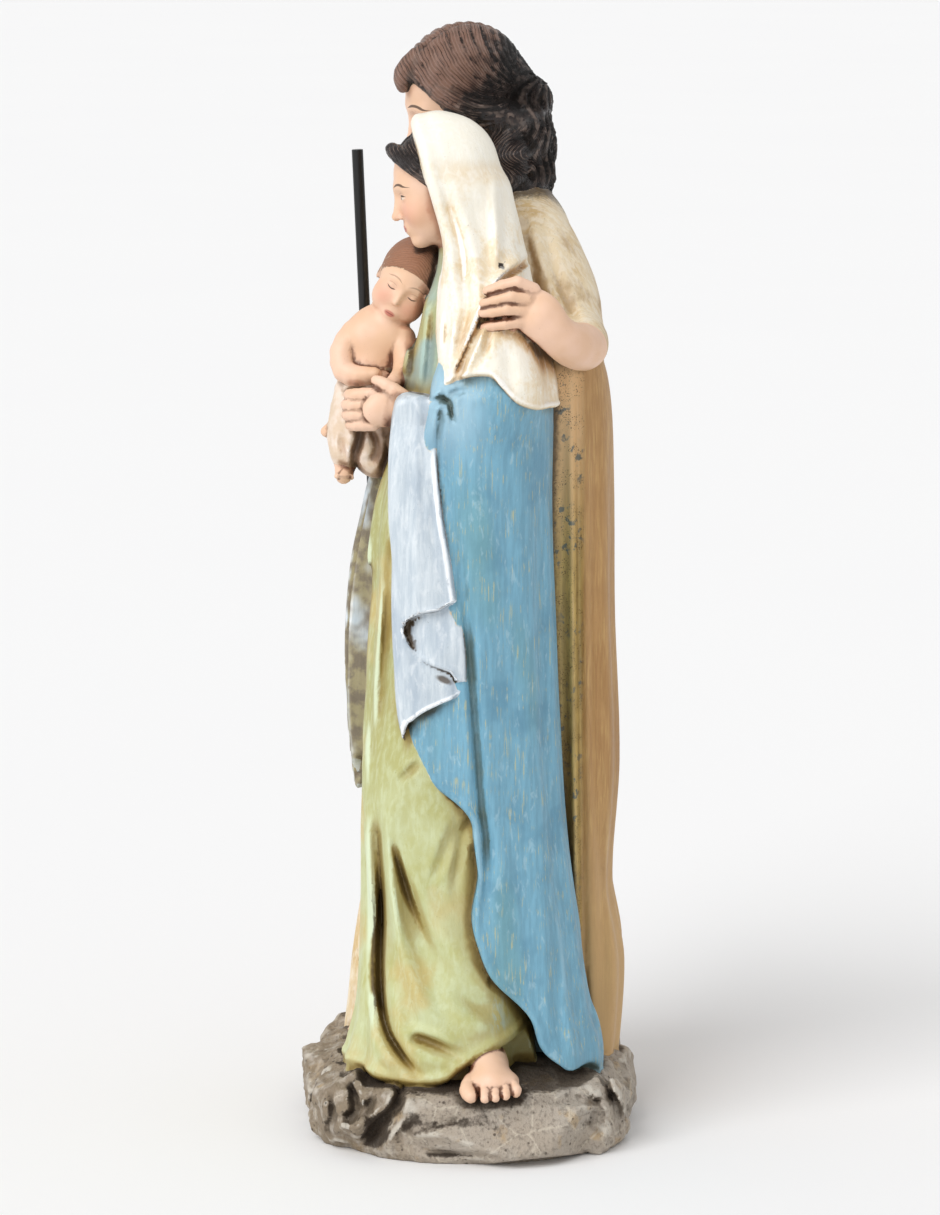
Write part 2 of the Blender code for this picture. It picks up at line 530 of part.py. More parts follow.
def man_fist(p):
    """His right hand closed round the staff."""
    centre = staff_at(190.0)
    ring = GRIP + 2.5
    d = strand(p, [(-50.5, -11, 193.5, 4.6), (-50.5, -17, 192.0, 4.0), (-51.2, -22, 191.0, 5.0)], 1.0)
    d = smooth_min(d, ball(p, (-50.8, -25.0, 190.4), (3.4, 5.5, 7.6)), 2.0)
    for i, (height, thick) in enumerate(((5.6, 2.3), (1.9, 2.4), (-1.9, 2.3), (-5.4, 2.0))):
        rows = []
        for turn in (165, 205, 245, 285, 325, 365, 400):
            a = np.radians(turn)
            rows.append(
                [
                    centre[0] + ring * np.cos(a), centre[1] + ring * np.sin(a),
                    centre[2] + height + 0.4 * np.sin(a), thick,
                ]
            )
        d = smooth_min(d, strand(p, rows, per_span=1), 0.5)
    thumb = [
        (-50.0, -19.5, 196.5, 2.7), (-46.0, -21.8, 199.0, 2.5), (-42.0, -26.5, 198.5, 2.2),
        (-41.5, -30.0, 197.5, 1.9),
    ]
    return smooth_min(d, strand(p, thumb, 0.5), 1.0)


def man_left_hand(p):
    d = hand(p, (39.8, 26.2, 222.0), (0.26, -0.86, 0.44), (0.97, 0.2, 0.10), 26.5, (0, 8), 1.0)
    arm = strand(p, [(22, 34, 219, 6.0), (31, 31.8, 218.8, 5.3), (39.8, 26.8, 221.8, 4.5)], 1.0)
    return smooth_min(d, arm, 2.0)


def man_feet(p):
    d = np.full(len(p), 1e3)
    for x, y, turn in ((-36.0, -32.0, -0.18), (-18.0, -32.5, 0.12)):
        d = np.minimum(d, limb(p, (x, y + 8, 22), (x + 6 * turn, y, 20.5), 4.6, 3.6))
        for i in range(5):
            off = 2.0 * (i - 2) * (1 if turn < 0 else -1)
            d = smooth_min(
                d,
                limb(
                    p, (x + off, y - 1, 20.5),
                    (x + off * 1.15 + 6 * turn, y - 5.2 + 0.22 * i * i * 0.5, 19.0), 1.6, 1.5,
                ),
                0.5,
            )
    return d


def man_head(p):
    q = (p - np.array(MAN_HEAD["place"])) @ MAN_HEAD["axes"] / MAN_HEAD["size"]
    size = MAN_HEAD["size"]
    skin = smooth_min(head_skin(q), ears(q), 0.02) * size
    skin = smooth_min(skin, limb(p, (-19, 2, 272), (-22, 8, 250), 8.0, 9.5), 3)
    m = mirrored(q)
    hair = hair_cap(q, (0.34, 0.36, 0.02), 0.05, 9, 0.014, knot=(-0.50, -0.05))
    lock = strand(
        m,
        [
            (0.31, 0.10, 0.10, 0.06), (0.36, -0.05, -0.02, 0.08), (0.34, -0.20, -0.14, 0.10),
            (0.24, -0.34, -0.24, 0.13),
        ],
        0.05,
    )
    hair = smooth_min(hair, lock, 0.06) * size
    nape = strand(
        p,
        [
            (-19, 8, 288, 8.0), (-19.5, 13.2, 280, 8.6), (-20, 14.6, 270, 9.2), (-20.5, 14.6, 262, 8.4),
            (-20.5, 13.6, 257.0, 6.4),
        ],
        2.0,
    )
    for side in (-1, 1):
        nape = smooth_min(
            nape,
            strand(
                p,
                [
                    (-19.5 + 7 * side, 9, 277, 5.5), (-20 + 9 * side, 11, 268, 5.5),
                    (-20 + 8.5 * side, 11.5, 260, 4.5),
                ],
                1.0,
            ),
            2.0,
        )
    turn = np.arctan2(p[:, 0] + 20, 20 - p[:, 1])
    nape += 0.7 * np.sin(8 * turn + 1.6 * np.sin(0.33 * p[:, 2])) + 0.25 * np.sin(
        19 * turn + 2.4 * np.sin(0.33 * p[:, 2] + 1)
    )
    hair = smooth_min(hair, nape, 2.5)
    chin = strand(
        m,
        [
            (0.28, 0.10, -0.10, 0.06), (0.24, 0.17, -0.26, 0.085), (0.13, 0.25, -0.40, 0.10),
            (0.03, 0.27, -0.52, 0.10),
        ],
        0.04,
    )
    lip = strand(
        m, [(0.02, 0.40, -0.235, 0.022), (0.08, 0.37, -0.255, 0.026), (0.13, 0.32, -0.33, 0.03)], 0.01,
    )
    beard = smooth_min(chin, lip, 0.03) * size
    return {"skin": skin, "hair": np.minimum(hair, beard)}


def woman_hair(p):
    q = (p - np.array(WOMAN_HEAD["place"])) @ WOMAN_HEAD["axes"] / WOMAN_HEAD["size"]
    return hair_cap(q, (0.345, 0.30, 0.0), 0.035, 14, 0.010) * WOMAN_HEAD["size"]


def rock(p):
    """A low slab of rock with boulders round its rim, chiselled into flats."""
    x, y, z = p.T
    wide = HEM[0] + LEDGE
    deep = HEM[1] + LEDGE
    high = TOP - FLOOR
    share = (np.abs(x / wide) ** 2.5 + np.abs(y / deep) ** 2.5) ** 0.4 + 1e-6
    far = np.hypot(x, y) + 1e-6
    rim = far - far / share
    d = smooth_max(rim + 4.5 + 2.0 * np.sin(0.21 * x + 0.4) * np.sin(0.17 * y + 1), z - TOP + 0.6, 3.0)
    count = 9
    for i in range(count):
        a = 2 * math.pi * (i + 0.22 * math.sin(5.1 * i + 0.7)) / count
        c = math.cos(a)
        s = math.sin(a)
        reach = (abs(c) ** 2.5 + abs(s) ** 2.5) ** -0.4
        big = 19.0 + 4.5 * math.sin(2.3 * i + 1.0)
        centre = np.array(
            [
                (wide - big + 2.0) * reach * c, (deep - big + 2.0) * reach * s,
                FLOOR + high * (0.40 + 0.10 * math.sin(3.7 * i)),
            ]
        )
        q = p - centre
        block = np.full(len(p), -1e3)
        for k in range(12):
            up = 1 - 2 * (k + 0.5) / 12
            turn = 2.39996 * k + 1.7 * i
            level = math.sqrt(1 - up * up)
            n = np.array([level * math.cos(turn), level * math.sin(turn), up])
            size = big * (0.88 + 0.10 * math.sin(4.4 * k + 2.9 * i)) * (0.52 + 0.48 * level)
            block = smooth_max(block, q @ n - size, 1.0)
        d = smooth_min(d, block, 1.5)
    d = smooth_max(d, rim, 2.0)
    d = smooth_max(d, z - TOP - 0.2, 1.5)
    return smooth_max(d, FLOOR - z, 0.5)


LAYERS = (
    "rock", "skin", "hair", "child_hair", "veil", "mantle", "lining", "dress", "swaddle", "cloak", "tunic",
)


def layers(p):
    """Distance from each point to each painted layer."""
    x, y, z = p.T
    out = {name: np.full(len(p), 40.0) for name in LAYERS}
    jobs = (
        (z < 26, lambda q: {"rock": rock(q)}),
        ((z < 260) & (x > -24), woman_robes),
        ((z > 196) & (x > -14), lambda q: {"veil": veil_cloth(q)}),
        (near(p, (26, -24, 203), 24), lambda q: {"skin": woman_hand(q)}),
        (near(p, (6, -30, 188), 24), lambda q: {"skin": woman_right_hand(q)}),
        (near(p, (48, 6, 24), 20), lambda q: {"skin": woman_foot(q)}),
        (near(p, (17.5, -6, 258), 30), lambda q: {"skin": woman_skin(q), "hair": woman_hair(q)}),
        (near(p, (10, -27, 212), 48), child_body),
        ((x < 44) & (z < 272), man_robes),
        (near(p, (-47, -24, 192), 26), lambda q: {"skin": man_fist(q)}),
        (near(p, (38, 22, 222), 36), lambda q: {"skin": man_left_hand(q)}),
        ((z < 40) & (y < -12) & (x < 0), lambda q: {"skin": man_feet(q)}),
        (near(p, (-19, 3, 278), 42), man_head),
    )
    for mask, shape in jobs:
        if mask.any():
            for name, d in shape(p[mask]).items():
                out[name][mask] = np.minimum(out[name][mask], d)
    return out


def merged(found):
    d = found["rock"]
    for name in LAYERS[1:]:
        d = smooth_min(d, found[name], 0.8)
    return d


def clay(p):
    return merged(layers(p))


def refined_field(f, low, high, step, levels=2):
    """The field on a grid of this step, worked out only near the surface, coarse to fine."""
    low = np.asarray(low, float)
    big = step * 2 ** levels
    n = np.ceil((np.asarray(high, float) - low) / big).astype(int) + 1
    at = np.stack(np.meshgrid(*[np.arange(k) for k in n], indexing="ij"), -1).reshape(-1, 3)
    field = f(low + big * at).reshape(n)
    size = big
    for level in range(levels):
        size /= 2
        m = np.array(field.shape) * 2 - 1
        spread = [np.minimum((np.arange(k) + 1) // 2, s - 1) for k, s in zip(m, field.shape)]
        finer = field[np.ix_(*spread)]
        close = np.argwhere(np.abs(finer) < size * 2 * 1.5)
        values = np.empty(len(close))
        for start in range(0, len(close), 250000):
            values[start:start + 250000] = f(low + size * close[start:start + 250000])
        finer[tuple(close.T)] = values
        field = finer
    return field


CORNERS = np.array([[i, j, k] for i in (0, 1) for j in (0, 1) for k in (0, 1)])


def torn_cells():
    """Which of the 256 ways to fill a cell's corners leave its inside or outside in two pieces."""
    torn = np.zeros(256, bool)
    for code in range(256):
        for wanted in (0, 1):
            group = [c for c in range(8) if (code >> c & 1) == wanted]
            seen = set(group[:1])
            grow = list(seen)
            while grow:
                c = grow.pop()
                for e in group:
                    if e not in seen and abs(CORNERS[c] - CORNERS[e]).sum() == 1:
                        seen.add(e)
                        grow.append(e)
            torn[code] |= len(seen) < len(group)
    return torn


def mended(field, step):
    """Fills the few cells whose surface would touch itself."""
    torn = torn_cells()
    shape = field.shape
    for _ in range(12):
        inside = field < 0
        code = np.zeros([s - 1 for s in shape], np.uint8)
        for bit, (i, j, k) in enumerate(CORNERS):
            code |= inside[
                i:i + shape[0] - 1, j:j + shape[1] - 1, k:k + shape[2] - 1,
            ].astype(np.uint8) << bit
        cells = np.argwhere(torn[code])
        if not len(cells):
            break
        for corner in CORNERS:
            at = tuple((cells + corner).T)
            field[at] = np.minimum(field[at], -0.05 * step)
    return field


def surface_net(field, low, step):
    """A closed mesh of four-sided faces round the field's inside."""
    inside = field < 0
    shape = field.shape
    count = np.zeros([s - 1 for s in shape], np.int8)
    for i, j, k in CORNERS:
        count += inside[i:i + shape[0] - 1, j:j + shape[1] - 1, k:k + shape[2] - 1]
    mixed = (count > 0) & (count < 8)
    cells = np.argwhere(mixed)
    index = np.full(mixed.shape, -1, np.int64)
    index[mixed] = np.arange(len(cells))
    value = {tuple(c): field[tuple((cells + c).T)] for c in CORNERS}
    total = np.zeros((len(cells), 3))
    hits = np.zeros(len(cells))
    for a in value:
        for axis in range(3):
            if a[axis]:
                continue
            b = tuple(1 if k == axis else a[k] for k in range(3))
            crossed = (value[a] < 0) != (value[b] < 0)
            share = np.where(crossed, value[a] / np.where(crossed, value[a] - value[b], 1.0), 0.0)
            point = np.tile(np.array(a, float), (len(cells), 1))
            point[:, axis] = share
            total += point * crossed[:, None]
            hits += crossed
    points = np.asarray(low, float) + step * (cells + total / hits[:, None])
    faces = []
    for axis in range(3):
        u, v = (axis + 1) % 3, (axis + 2) % 3
        first = [slice(None)] * 3
        second = [slice(None)] * 3
        first[axis] = slice(0, -1)
        second[axis] = slice(1, None)
        edges = np.argwhere(inside[tuple(first)] != inside[tuple(second)])
        du = np.eye(3, dtype=int)[u]
        dv = np.eye(3, dtype=int)[v]
        quad = np.stack([index[tuple((edges - s).T)] for s in (du + dv, dv, 0 * du, du)], 1)
        turned = ~inside[tuple(edges.T)]
        quad[turned] = quad[turned][:, ::-1]
        faces.append(quad)
    return points, np.concatenate(faces)


def largest_body(points, faces):
    """The biggest connected piece of a mesh."""
    label = np.arange(len(points))
    ends = np.stack([faces, np.roll(faces, -1, axis=1)], -1).reshape(-1, 2)
    while True:
        low = np.minimum(label[ends[:, 0]], label[ends[:, 1]])
        new = label.copy()
        np.minimum.at(new, ends[:, 0], low)
        np.minimum.at(new, ends[:, 1], low)
        new = new[new]
        new = new[new]
        if (new == label).all():
            break
        label = new
    names, counts = np.unique(label, return_counts=True)
    keep = label == names[np.argmax(counts)]
    renumber = np.cumsum(keep) - 1
    return points[keep], renumber[faces[keep[faces[:, 0]]]]


# Blender objects
def paint(name, colour, roughness):
    material = bpy.data.materials.new(name)
    material.use_nodes = True
    shader = material.node_tree.nodes["Principled BSDF"]
    shader.inputs["Base Color"].default_value = (*colour, 1.0)
    shader.inputs["Roughness"].default_value = roughness
    material.diffuse_color = (*colour, 1.0)
    return material


COLOURS = {
    "rock": (0.32, 0.29, 0.25),
    "skin": (0.80, 0.50, 0.33),
    "hair": (0.045, 0.025, 0.02),
    "child_hair": (0.32, 0.14, 0.08),
    "veil": (0.88, 0.82, 0.68),
    "mantle": (0.15, 0.36, 0.50),
    "lining": (0.55, 0.64, 0.74),
    "dress": (0.52, 0.55, 0.25),
    "swaddle": (0.70, 0.52, 0.40),
    "cloak": (0.45, 0.28, 0.11),
    "tunic": (0.80, 0.70, 0.50),
}


def mesh_object(name, points, faces):
    mesh = bpy.data.meshes.new(name)
    mesh.from_pydata([tuple(p) for p in points.tolist()], [], [tuple(f) for f in faces.tolist()])
    mesh.update()
    thing = bpy.data.objects.new(name, mesh)
    bpy.context.collection.objects.link(thing)
    return thing


def to_metres(p):
    return (np.asarray(p, float) - np.array([0.0, 0.0, FLOOR])) * UNIT


def to_carver(p):
    return np.asarray(p, float) / UNIT + np.array([0.0, 0.0, FLOOR])


def carving():
    """The group as a mesh in metres, thinned where the cloth is smooth."""
    reach = np.array([HEM[0] + LEDGE, HEM[1] + LEDGE, 0.0]) + np.array([4.0, 4.0, 309.0])
    low = np.array([-reach[0], -reach[1], FLOOR - 3.3])
    field = mended(refined_field(clay, low, reach, GRAIN), GRAIN)
    points, faces = largest_body(*surface_net(field, low, GRAIN))
    found = layers(points)
    bare = np.minimum(found["skin"], found["child_hair"]) < 1.0
    points = to_metres(points)
    points[points[:, 2] < 0.15 * GRAIN * UNIT, 2] = 0.0
    rough = mesh_object("rough_carving", points, faces)
    cloth = rough.vertex_groups.new(name="thin_here")
    cloth.add(np.flatnonzero(~bare).tolist(), 1.0, "REPLACE")
    cloth.add(np.flatnonzero(bare).tolist(), 0.5, "REPLACE")
    thin = rough.modifiers.new("thin", "DECIMATE")
    thin.ratio = KEPT_TRIANGLES / (2.0 * len(faces))
    thin.vertex_group = "thin_here"
    thin.vertex_group_factor = 0.005
    thin.use_collapse_triangulate = True
    graph = bpy.context.evaluated_depsgraph_get()
    mesh = bpy.data.meshes.new_from_object(rough.evaluated_get(graph))
    bpy.data.objects.remove(rough, do_unlink=True)
    return mesh


def painted(mesh):
    """Gives each face the colour of the layer it lies on."""
    for name in LAYERS:
        mesh.materials.append(paint(name, COLOURS[name], 0.6))
    middles = np.empty(len(mesh.polygons) * 3, np.float32)
    mesh.polygons.foreach_get("center", middles)
    found = layers(to_carver(middles.reshape(-1, 3)))
    nearest = np.argmin(np.stack([found[name] for name in LAYERS]), axis=0)
    mesh.polygons.foreach_set("material_index", nearest.astype(np.int32))


def rod(name, start, direction, length, radius, sides=24):
    """A round bar of many flats from a start point along a direction."""
    across = np.cross(direction, [1.0, 0.0, 0.0])
    across /= np.linalg.norm(across)
    other = np.cross(direction, across)
    turns = 2 * math.pi * np.arange(sides) / sides
    ring = radius * (np.cos(turns)[:, None] * across + np.sin(turns)[:, None] * other)
    points = np.concatenate([start + ring, start + ring + length * direction])
    mesh = bpy.data.meshes.new(name)
    walls = [(i, (i + 1) % sides, sides + (i + 1) % sides, sides + i) for i in range(sides)]
    ends = [tuple(range(sides))[::-1], tuple(range(sides, 2 * sides))]
    mesh.from_pydata([tuple(p) for p in points.tolist()], [], walls + ends)
    mesh.update()
    thing = bpy.data.objects.new(name, mesh)
    bpy.context.collection.objects.link(thing)
    return thing


def main():
    for thing in list(bpy.data.objects):
        bpy.data.objects.remove(thing, do_unlink=True)

    foot = to_metres(STAFF_FOOT)
    up = to_metres(STAFF_TOP) - foot
    up /= np.linalg.norm(up)
    seat = foot - up * SOCKET_DEPTH

    mesh = carving()
    painted(mesh)
    group = bpy.data.objects.new("family_group", mesh)
    bpy.context.collection.objects.link(group)

    bore = rod("staff_bore", seat, up, STAFF_LENGTH, STAFF_DIAMETER / 2 + STAFF_CLEARANCE)
    bore.hide_render = True
    bore.display_type = "WIRE"
    cut = group.modifiers.new("staff bore", "BOOLEAN")
    cut.operation = "DIFFERENCE"
    cut.solver = "EXACT"
    cut.object = bore

    staff = rod(
        "staff", seat + up * STAFF_CLEARANCE, up, STAFF_LENGTH - STAFF_CLEARANCE, STAFF_DIAMETER / 2,
    )
    staff.data.materials.append(paint("black staff", (0.01, 0.01, 0.011), 0.35))

    corners = np.empty(len(mesh.vertices) * 3, np.float32)
    mesh.vertices.foreach_get("co", corners)
    corners = corners.reshape(-1, 3)
    middle = (corners.min(0) + corners.max(0)) / 2
    for thing in (group, bore, staff):
        thing.location.x = -middle[0]
        thing.location.y = -middle[1]


main()
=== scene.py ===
"""A painted cast-resin family group on its rock base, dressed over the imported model."""

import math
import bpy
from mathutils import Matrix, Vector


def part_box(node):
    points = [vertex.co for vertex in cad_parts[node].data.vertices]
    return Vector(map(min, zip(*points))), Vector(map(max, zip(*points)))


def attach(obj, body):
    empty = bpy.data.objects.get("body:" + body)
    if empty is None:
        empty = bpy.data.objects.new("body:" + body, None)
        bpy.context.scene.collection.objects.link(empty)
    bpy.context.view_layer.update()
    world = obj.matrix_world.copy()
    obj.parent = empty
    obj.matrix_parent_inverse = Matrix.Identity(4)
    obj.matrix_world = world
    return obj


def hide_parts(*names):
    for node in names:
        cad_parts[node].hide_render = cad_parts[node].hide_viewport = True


bl_info = {
    "name": "Painted family group",
    "version": (1, 0, 0),
    "blender": (4, 5, 0),
    "location": "3D View > Sidebar > Statue",
    "description": "Casts, paints and lights a resin figure group with its staff",
    "category": "Add Mesh",
}

from concurrent.futures import ThreadPoolExecutor

import bpy
import numpy as np
from mathutils import Vector

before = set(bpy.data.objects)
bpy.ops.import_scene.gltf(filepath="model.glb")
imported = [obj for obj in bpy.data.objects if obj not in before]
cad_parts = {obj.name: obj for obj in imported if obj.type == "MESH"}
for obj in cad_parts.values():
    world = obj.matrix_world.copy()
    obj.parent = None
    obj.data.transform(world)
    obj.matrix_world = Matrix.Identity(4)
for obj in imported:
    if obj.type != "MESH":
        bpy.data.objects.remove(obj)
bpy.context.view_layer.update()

# The carver works in millimetres, with the rock's underside at 0
MM = 1000.0
GRIP = 1.6
SOLE = 12.0

# The photograph's frame in its own pixels: its height, the lens and how far the middle is raised
FRAME_HEIGHT = 1215.0
FRAME_LENS = 4694.0
FRAME_RISE = -21.5
SENSOR = 36.0


# Shaping tools
def smooth_min(a, b, blend):
    near = np.clip(1.0 - np.abs(a - b) / blend, 0.0, None)
    return np.minimum(a, b) - 0.25 * blend * near * near


def smooth_max(a, b, blend):
    return -smooth_min(-a, -b, blend)


def ramp(x, low, high):
    t = np.clip((x - low) / (high - low), 0.0, 1.0)
    return t * t * (3.0 - 2.0 * t)


def bump(x, centre, width):
    t = (x - centre) / width
    return np.exp(-t * t)


def curve(knots, values, x):
    """A smooth curve through a few values, level past its ends."""
    k = np.asarray(knots, float)
    v = np.asarray(values, float)
    h = np.diff(k)
    s = np.diff(v) / h
    inner = (s[1:] * h[:-1] + s[:-1] * h[1:]) / (h[:-1] + h[1:])
    inner = np.where(s[1:] * s[:-1] <= 0, 0.35 * inner, inner)
    m = np.concatenate([s[:1], inner, s[-1:]])
    x = np.clip(x, k[0], k[-1])
    i = np.clip(np.searchsorted(k, x) - 1, 0, len(h) - 1)
    t = (x - k[i]) / h[i]
    t2 = t * t
    t3 = t2 * t
    start = (2 * t3 - 3 * t2 + 1) * v[i] + (t3 - 2 * t2 + t) * h[i] * m[i]
    return start + (3 * t2 - 2 * t3) * v[i + 1] + (t3 - t2) * h[i] * m[i + 1]


def facing(yaw, pitch, roll):
    """Axes of a head as columns side, forward, up. Yaw turns it to +X, pitch bows it, roll tips it."""
    a, b, c = np.radians([yaw, pitch, roll])
    forward = np.array([np.sin(a) * np.cos(b), -np.cos(a) * np.cos(b), -np.sin(b)])
    up = np.array([np.sin(a) * np.sin(b), -np.cos(a) * np.sin(b), np.cos(b)])
    side = np.array([np.cos(a), np.sin(a), 0.0])
    return np.stack([np.cos(c) * side - np.sin(c) * up, forward, np.cos(c) * up + np.sin(c) * side], axis=1)


def ball(p, centre, radii):
    r = np.asarray(radii, float)
    q = (p - np.asarray(centre, float)) / r
    far = np.sqrt((q * q).sum(1))
    q = q / r
    return far * (far - 1.0) / np.maximum(np.sqrt((q * q).sum(1)), 1e-6)


def limb(p, start, end, start_radius, end_radius):
    a = np.asarray(start, float)
    ab = np.asarray(end, float) - a
    q = p - a
    t = np.clip(q @ ab / (ab @ ab), 0.0, 1.0)
    q = q - t[:, None] * ab
    return np.sqrt((q * q).sum(1)) - (start_radius + (end_radius - start_radius) * t)


def smooth_path(points, per_span):
    rows = np.asarray(points, float)
    k = np.arange(len(rows), dtype=float)
    t = np.linspace(0, len(rows) - 1, (len(rows) - 1) * per_span + 1)
    return np.stack([curve(k, rows[:, i], t) for i in range(rows.shape[1])], axis=1)


def strand(p, points, blend=0.0, per_span=2):
    """A round bar of changing thickness. Each point is x, y, z, radius."""
    rows = smooth_path(points, per_span) if len(points) > 2 else np.asarray(points, float)
    d = np.full(len(p), 1e3)
    for a, b in zip(rows[:-1], rows[1:]):
        e = limb(p, a[:3], b[:3], a[3], b[3])
        d = smooth_min(d, e, blend) if blend else np.minimum(d, e)
    return d


def column(p, rows):
    """A draped column. Each row is height, centre x, centre y, half width, reach forward, reach back."""
    r = np.asarray(rows, float)
    z = p[:, 2]
    cx, cy, wide, ahead, behind = (curve(r[:, 0], r[:, i], z) for i in range(1, 6))
    x = p[:, 0] - cx
    y = p[:, 1] - cy
    deep = np.where(y < 0, ahead, behind)
    far = np.hypot(x, y) + 1e-6
    share = np.hypot(x / wide, y / deep) + 1e-6
    return far - far / share, np.degrees(np.arctan2(x / wide, -y / deep))


def groove(t):
    return np.exp(-t * t) - 0.42 * (np.exp(-((t - 1.75) ** 2)) + np.exp(-((t + 1.75) ** 2)))


def pleats(turn, z, rows):
    """Valleys down a column, as rows of lowest z, highest z, turns low and high, half width, depth."""
    total = np.zeros(len(z))
    for low, high, first, last, width, depth in rows:
        share = np.clip((z - low) / (high - low), 0.0, 1.0)
        t = (turn - (first + (last - first) * share) + 180.0) % 360.0 - 180.0
        fade = ramp(z, low - 4, low + 4) * (1.0 - ramp(z, high - 0.35 * (high - low), high))
        total += depth * fade * groove(t / width)
    return total


def crease(a, b, rows, per_span=3):
    """A cut along a line of the a-b plane, as rows of a, b, half width, depth. Depth below 0 is a ridge."""
    path = smooth_path(rows, per_span)
    reach = 3.0 * path[:, 2].max()
    out = np.zeros(len(a))
    low = path.min(0) - reach
    high = path.max(0) + reach
    ok = np.flatnonzero((a > low[0]) & (a < high[0]) & (b > low[1]) & (b < high[1]))
    if not len(ok):
        return out
    u = a[ok]
    v = b[ok]
    best = np.full(len(ok), 1e6)
    wide = np.ones(len(ok))
    deep = np.zeros(len(ok))
    fade = np.minimum(np.arange(len(path)) / (0.16 * len(path)), 1.0)
    fade = fade * fade[::-1]
    path[:, 3] *= fade
    for one, two in zip(path[:-1], path[1:]):
        du, dv = two[:2] - one[:2]
        t = np.clip(((u - one[0]) * du + (v - one[1]) * dv) / (du * du + dv * dv), 0.0, 1.0)
        d2 = (u - one[0] - t * du) ** 2 + (v - one[1] - t * dv) ** 2
        nearer = d2 < best
        best = np.where(nearer, d2, best)
        wide = np.where(nearer, one[2] + t * (two[2] - one[2]), wide)
        deep = np.where(nearer, one[3] + t * (two[3] - one[3]), deep)
    t = np.sqrt(best) / wide
    out[ok] = deep * groove(t)
    return out


def lattice_noise(p, size, seed=0):
    """Smooth noise from -1 to 1, with bumps of this size."""
    q = p / size + 100.0
    cell = np.floor(q).astype(np.int64)
    t = q - cell
    t = t * t * (3 - 2 * t)
    total = np.zeros(len(p))
    for i, j, k in CORNERS:
        h = (cell[:, 0] + i) * 73856093 ^ (cell[:, 1] + j) * 19349663
        h = h ^ (cell[:, 2] + k) * 83492791 ^ (seed * 2654435761)
        h = (h ^ (h >> 13)) * 1274126177 & 0x7FFFFFFF
        value = (h >> 8 & 0xFFFF) / 32767.5 - 1.0
        total += value * np.abs(1 - i - t[:, 0]) * np.abs(1 - j - t[:, 1]) * np.abs(1 - k - t[:, 2])
    return total


def near(p, centre, reach):
    q = p - np.asarray(centre, float)
    return (q * q).sum(1) < reach * reach


def mirrored(q):
    m = q.copy()
    m[:, 0] = np.abs(m[:, 0])
    return m


# Head, in shares of its height, from the middle of the eye line
def on_head(p, head):
    """Points in a head's own axes: side, forward and up, in shares of its height."""
    return (p - np.array(head["place"])) @ head["axes"] / head["size"]


def head_skin(q, young=0.0):
    m = mirrored(q)
    d = ball(q, (0, -0.06 - 0.01 * young, 0.13), (0.335 + 0.03 * young, 0.43, 0.37))
    d = smooth_min(d, ball(q, (0, 0.12, -0.12), (0.272 + 0.02 * young, 0.268, 0.36 - 0.02 * young)), 0.10)
    d = smooth_min(d, ball(q, (0, 0.07, -0.27), (0.23 + 0.03 * young, 0.235, 0.20)), 0.08)
    cheek = (0.10 + 0.03 * young, 0.10 + 0.02 * young, 0.10 + 0.03 * young)
    d = smooth_min(d, ball(m, (0.155, 0.235, -0.145 - 0.03 * young), cheek), 0.10)
    d = smooth_min(d, ball(q, (0, 0.292, -0.415), (0.085 + 0.02 * young, 0.076, 0.068)), 0.09)
    d = smooth_min(d, limb(m, (0.03, 0.35, 0.075), (0.17, 0.30, 0.075), 0.035, 0.03), 0.07)
    d = smooth_max(d, -ball(m, (0.132, 0.425, 0.0), (0.085, 0.075, 0.05)), 0.06)
    d = smooth_min(d, ball(m, (0.132, 0.292, -0.004), (0.066, 0.07, 0.047)), 0.012)
    tip = 0.440 - 0.04 * young
    low = -0.160 + 0.035 * young
    d = smooth_min(d, limb(q, (0, 0.362, 0.04 - 0.03 * young), (0, tip, low), 0.026, 0.033), 0.045)
    d = smooth_min(d, ball(q, (0, tip + 0.003, low + 0.003), (0.034, 0.036, 0.031)), 0.025)
    d = smooth_min(d, ball(m, (0.038, tip - 0.048, low - 0.010), (0.024, 0.034, 0.022)), 0.025)
    d = smooth_min(d, ball(q, (0, 0.33, -0.28), (0.10, 0.07, 0.075)), 0.05)
    d = smooth_min(d, limb(m, (0.0, 0.383, -0.264), (0.062, 0.350, -0.273), 0.016, 0.010), 0.014)
    return smooth_min(d, limb(m, (0.0, 0.378, -0.302), (0.052, 0.349, -0.293), 0.020, 0.012), 0.014)


def ears(q):
    m = mirrored(q)
    d = ball(m, (0.335, -0.02, -0.06), (0.035, 0.06, 0.095))
    return smooth_max(d, -ball(m, (0.375, 0.0, -0.05), (0.025, 0.03, 0.055)), 0.02)


def locks(across, along, count):
    """Overlapping locks of hair, from -1 in the partings to 1 on the crests."""
    t = across * count + 0.16 * np.sin(1.1 * along + 1.7 * across) + 0.5 * np.sin(0.31 * count * across + 1.0)
    share = t - np.floor(t)
    lock = np.where(share < 0.72, np.sin(np.pi * share / 1.44), np.cos(np.pi * (share - 0.72) / 0.56))
    fine = np.sin(2 * np.pi * (2.6 * t + 0.35 * np.sin(3.0 * along)))
    return 1.3 * lock - 0.9 + 0.15 * fine


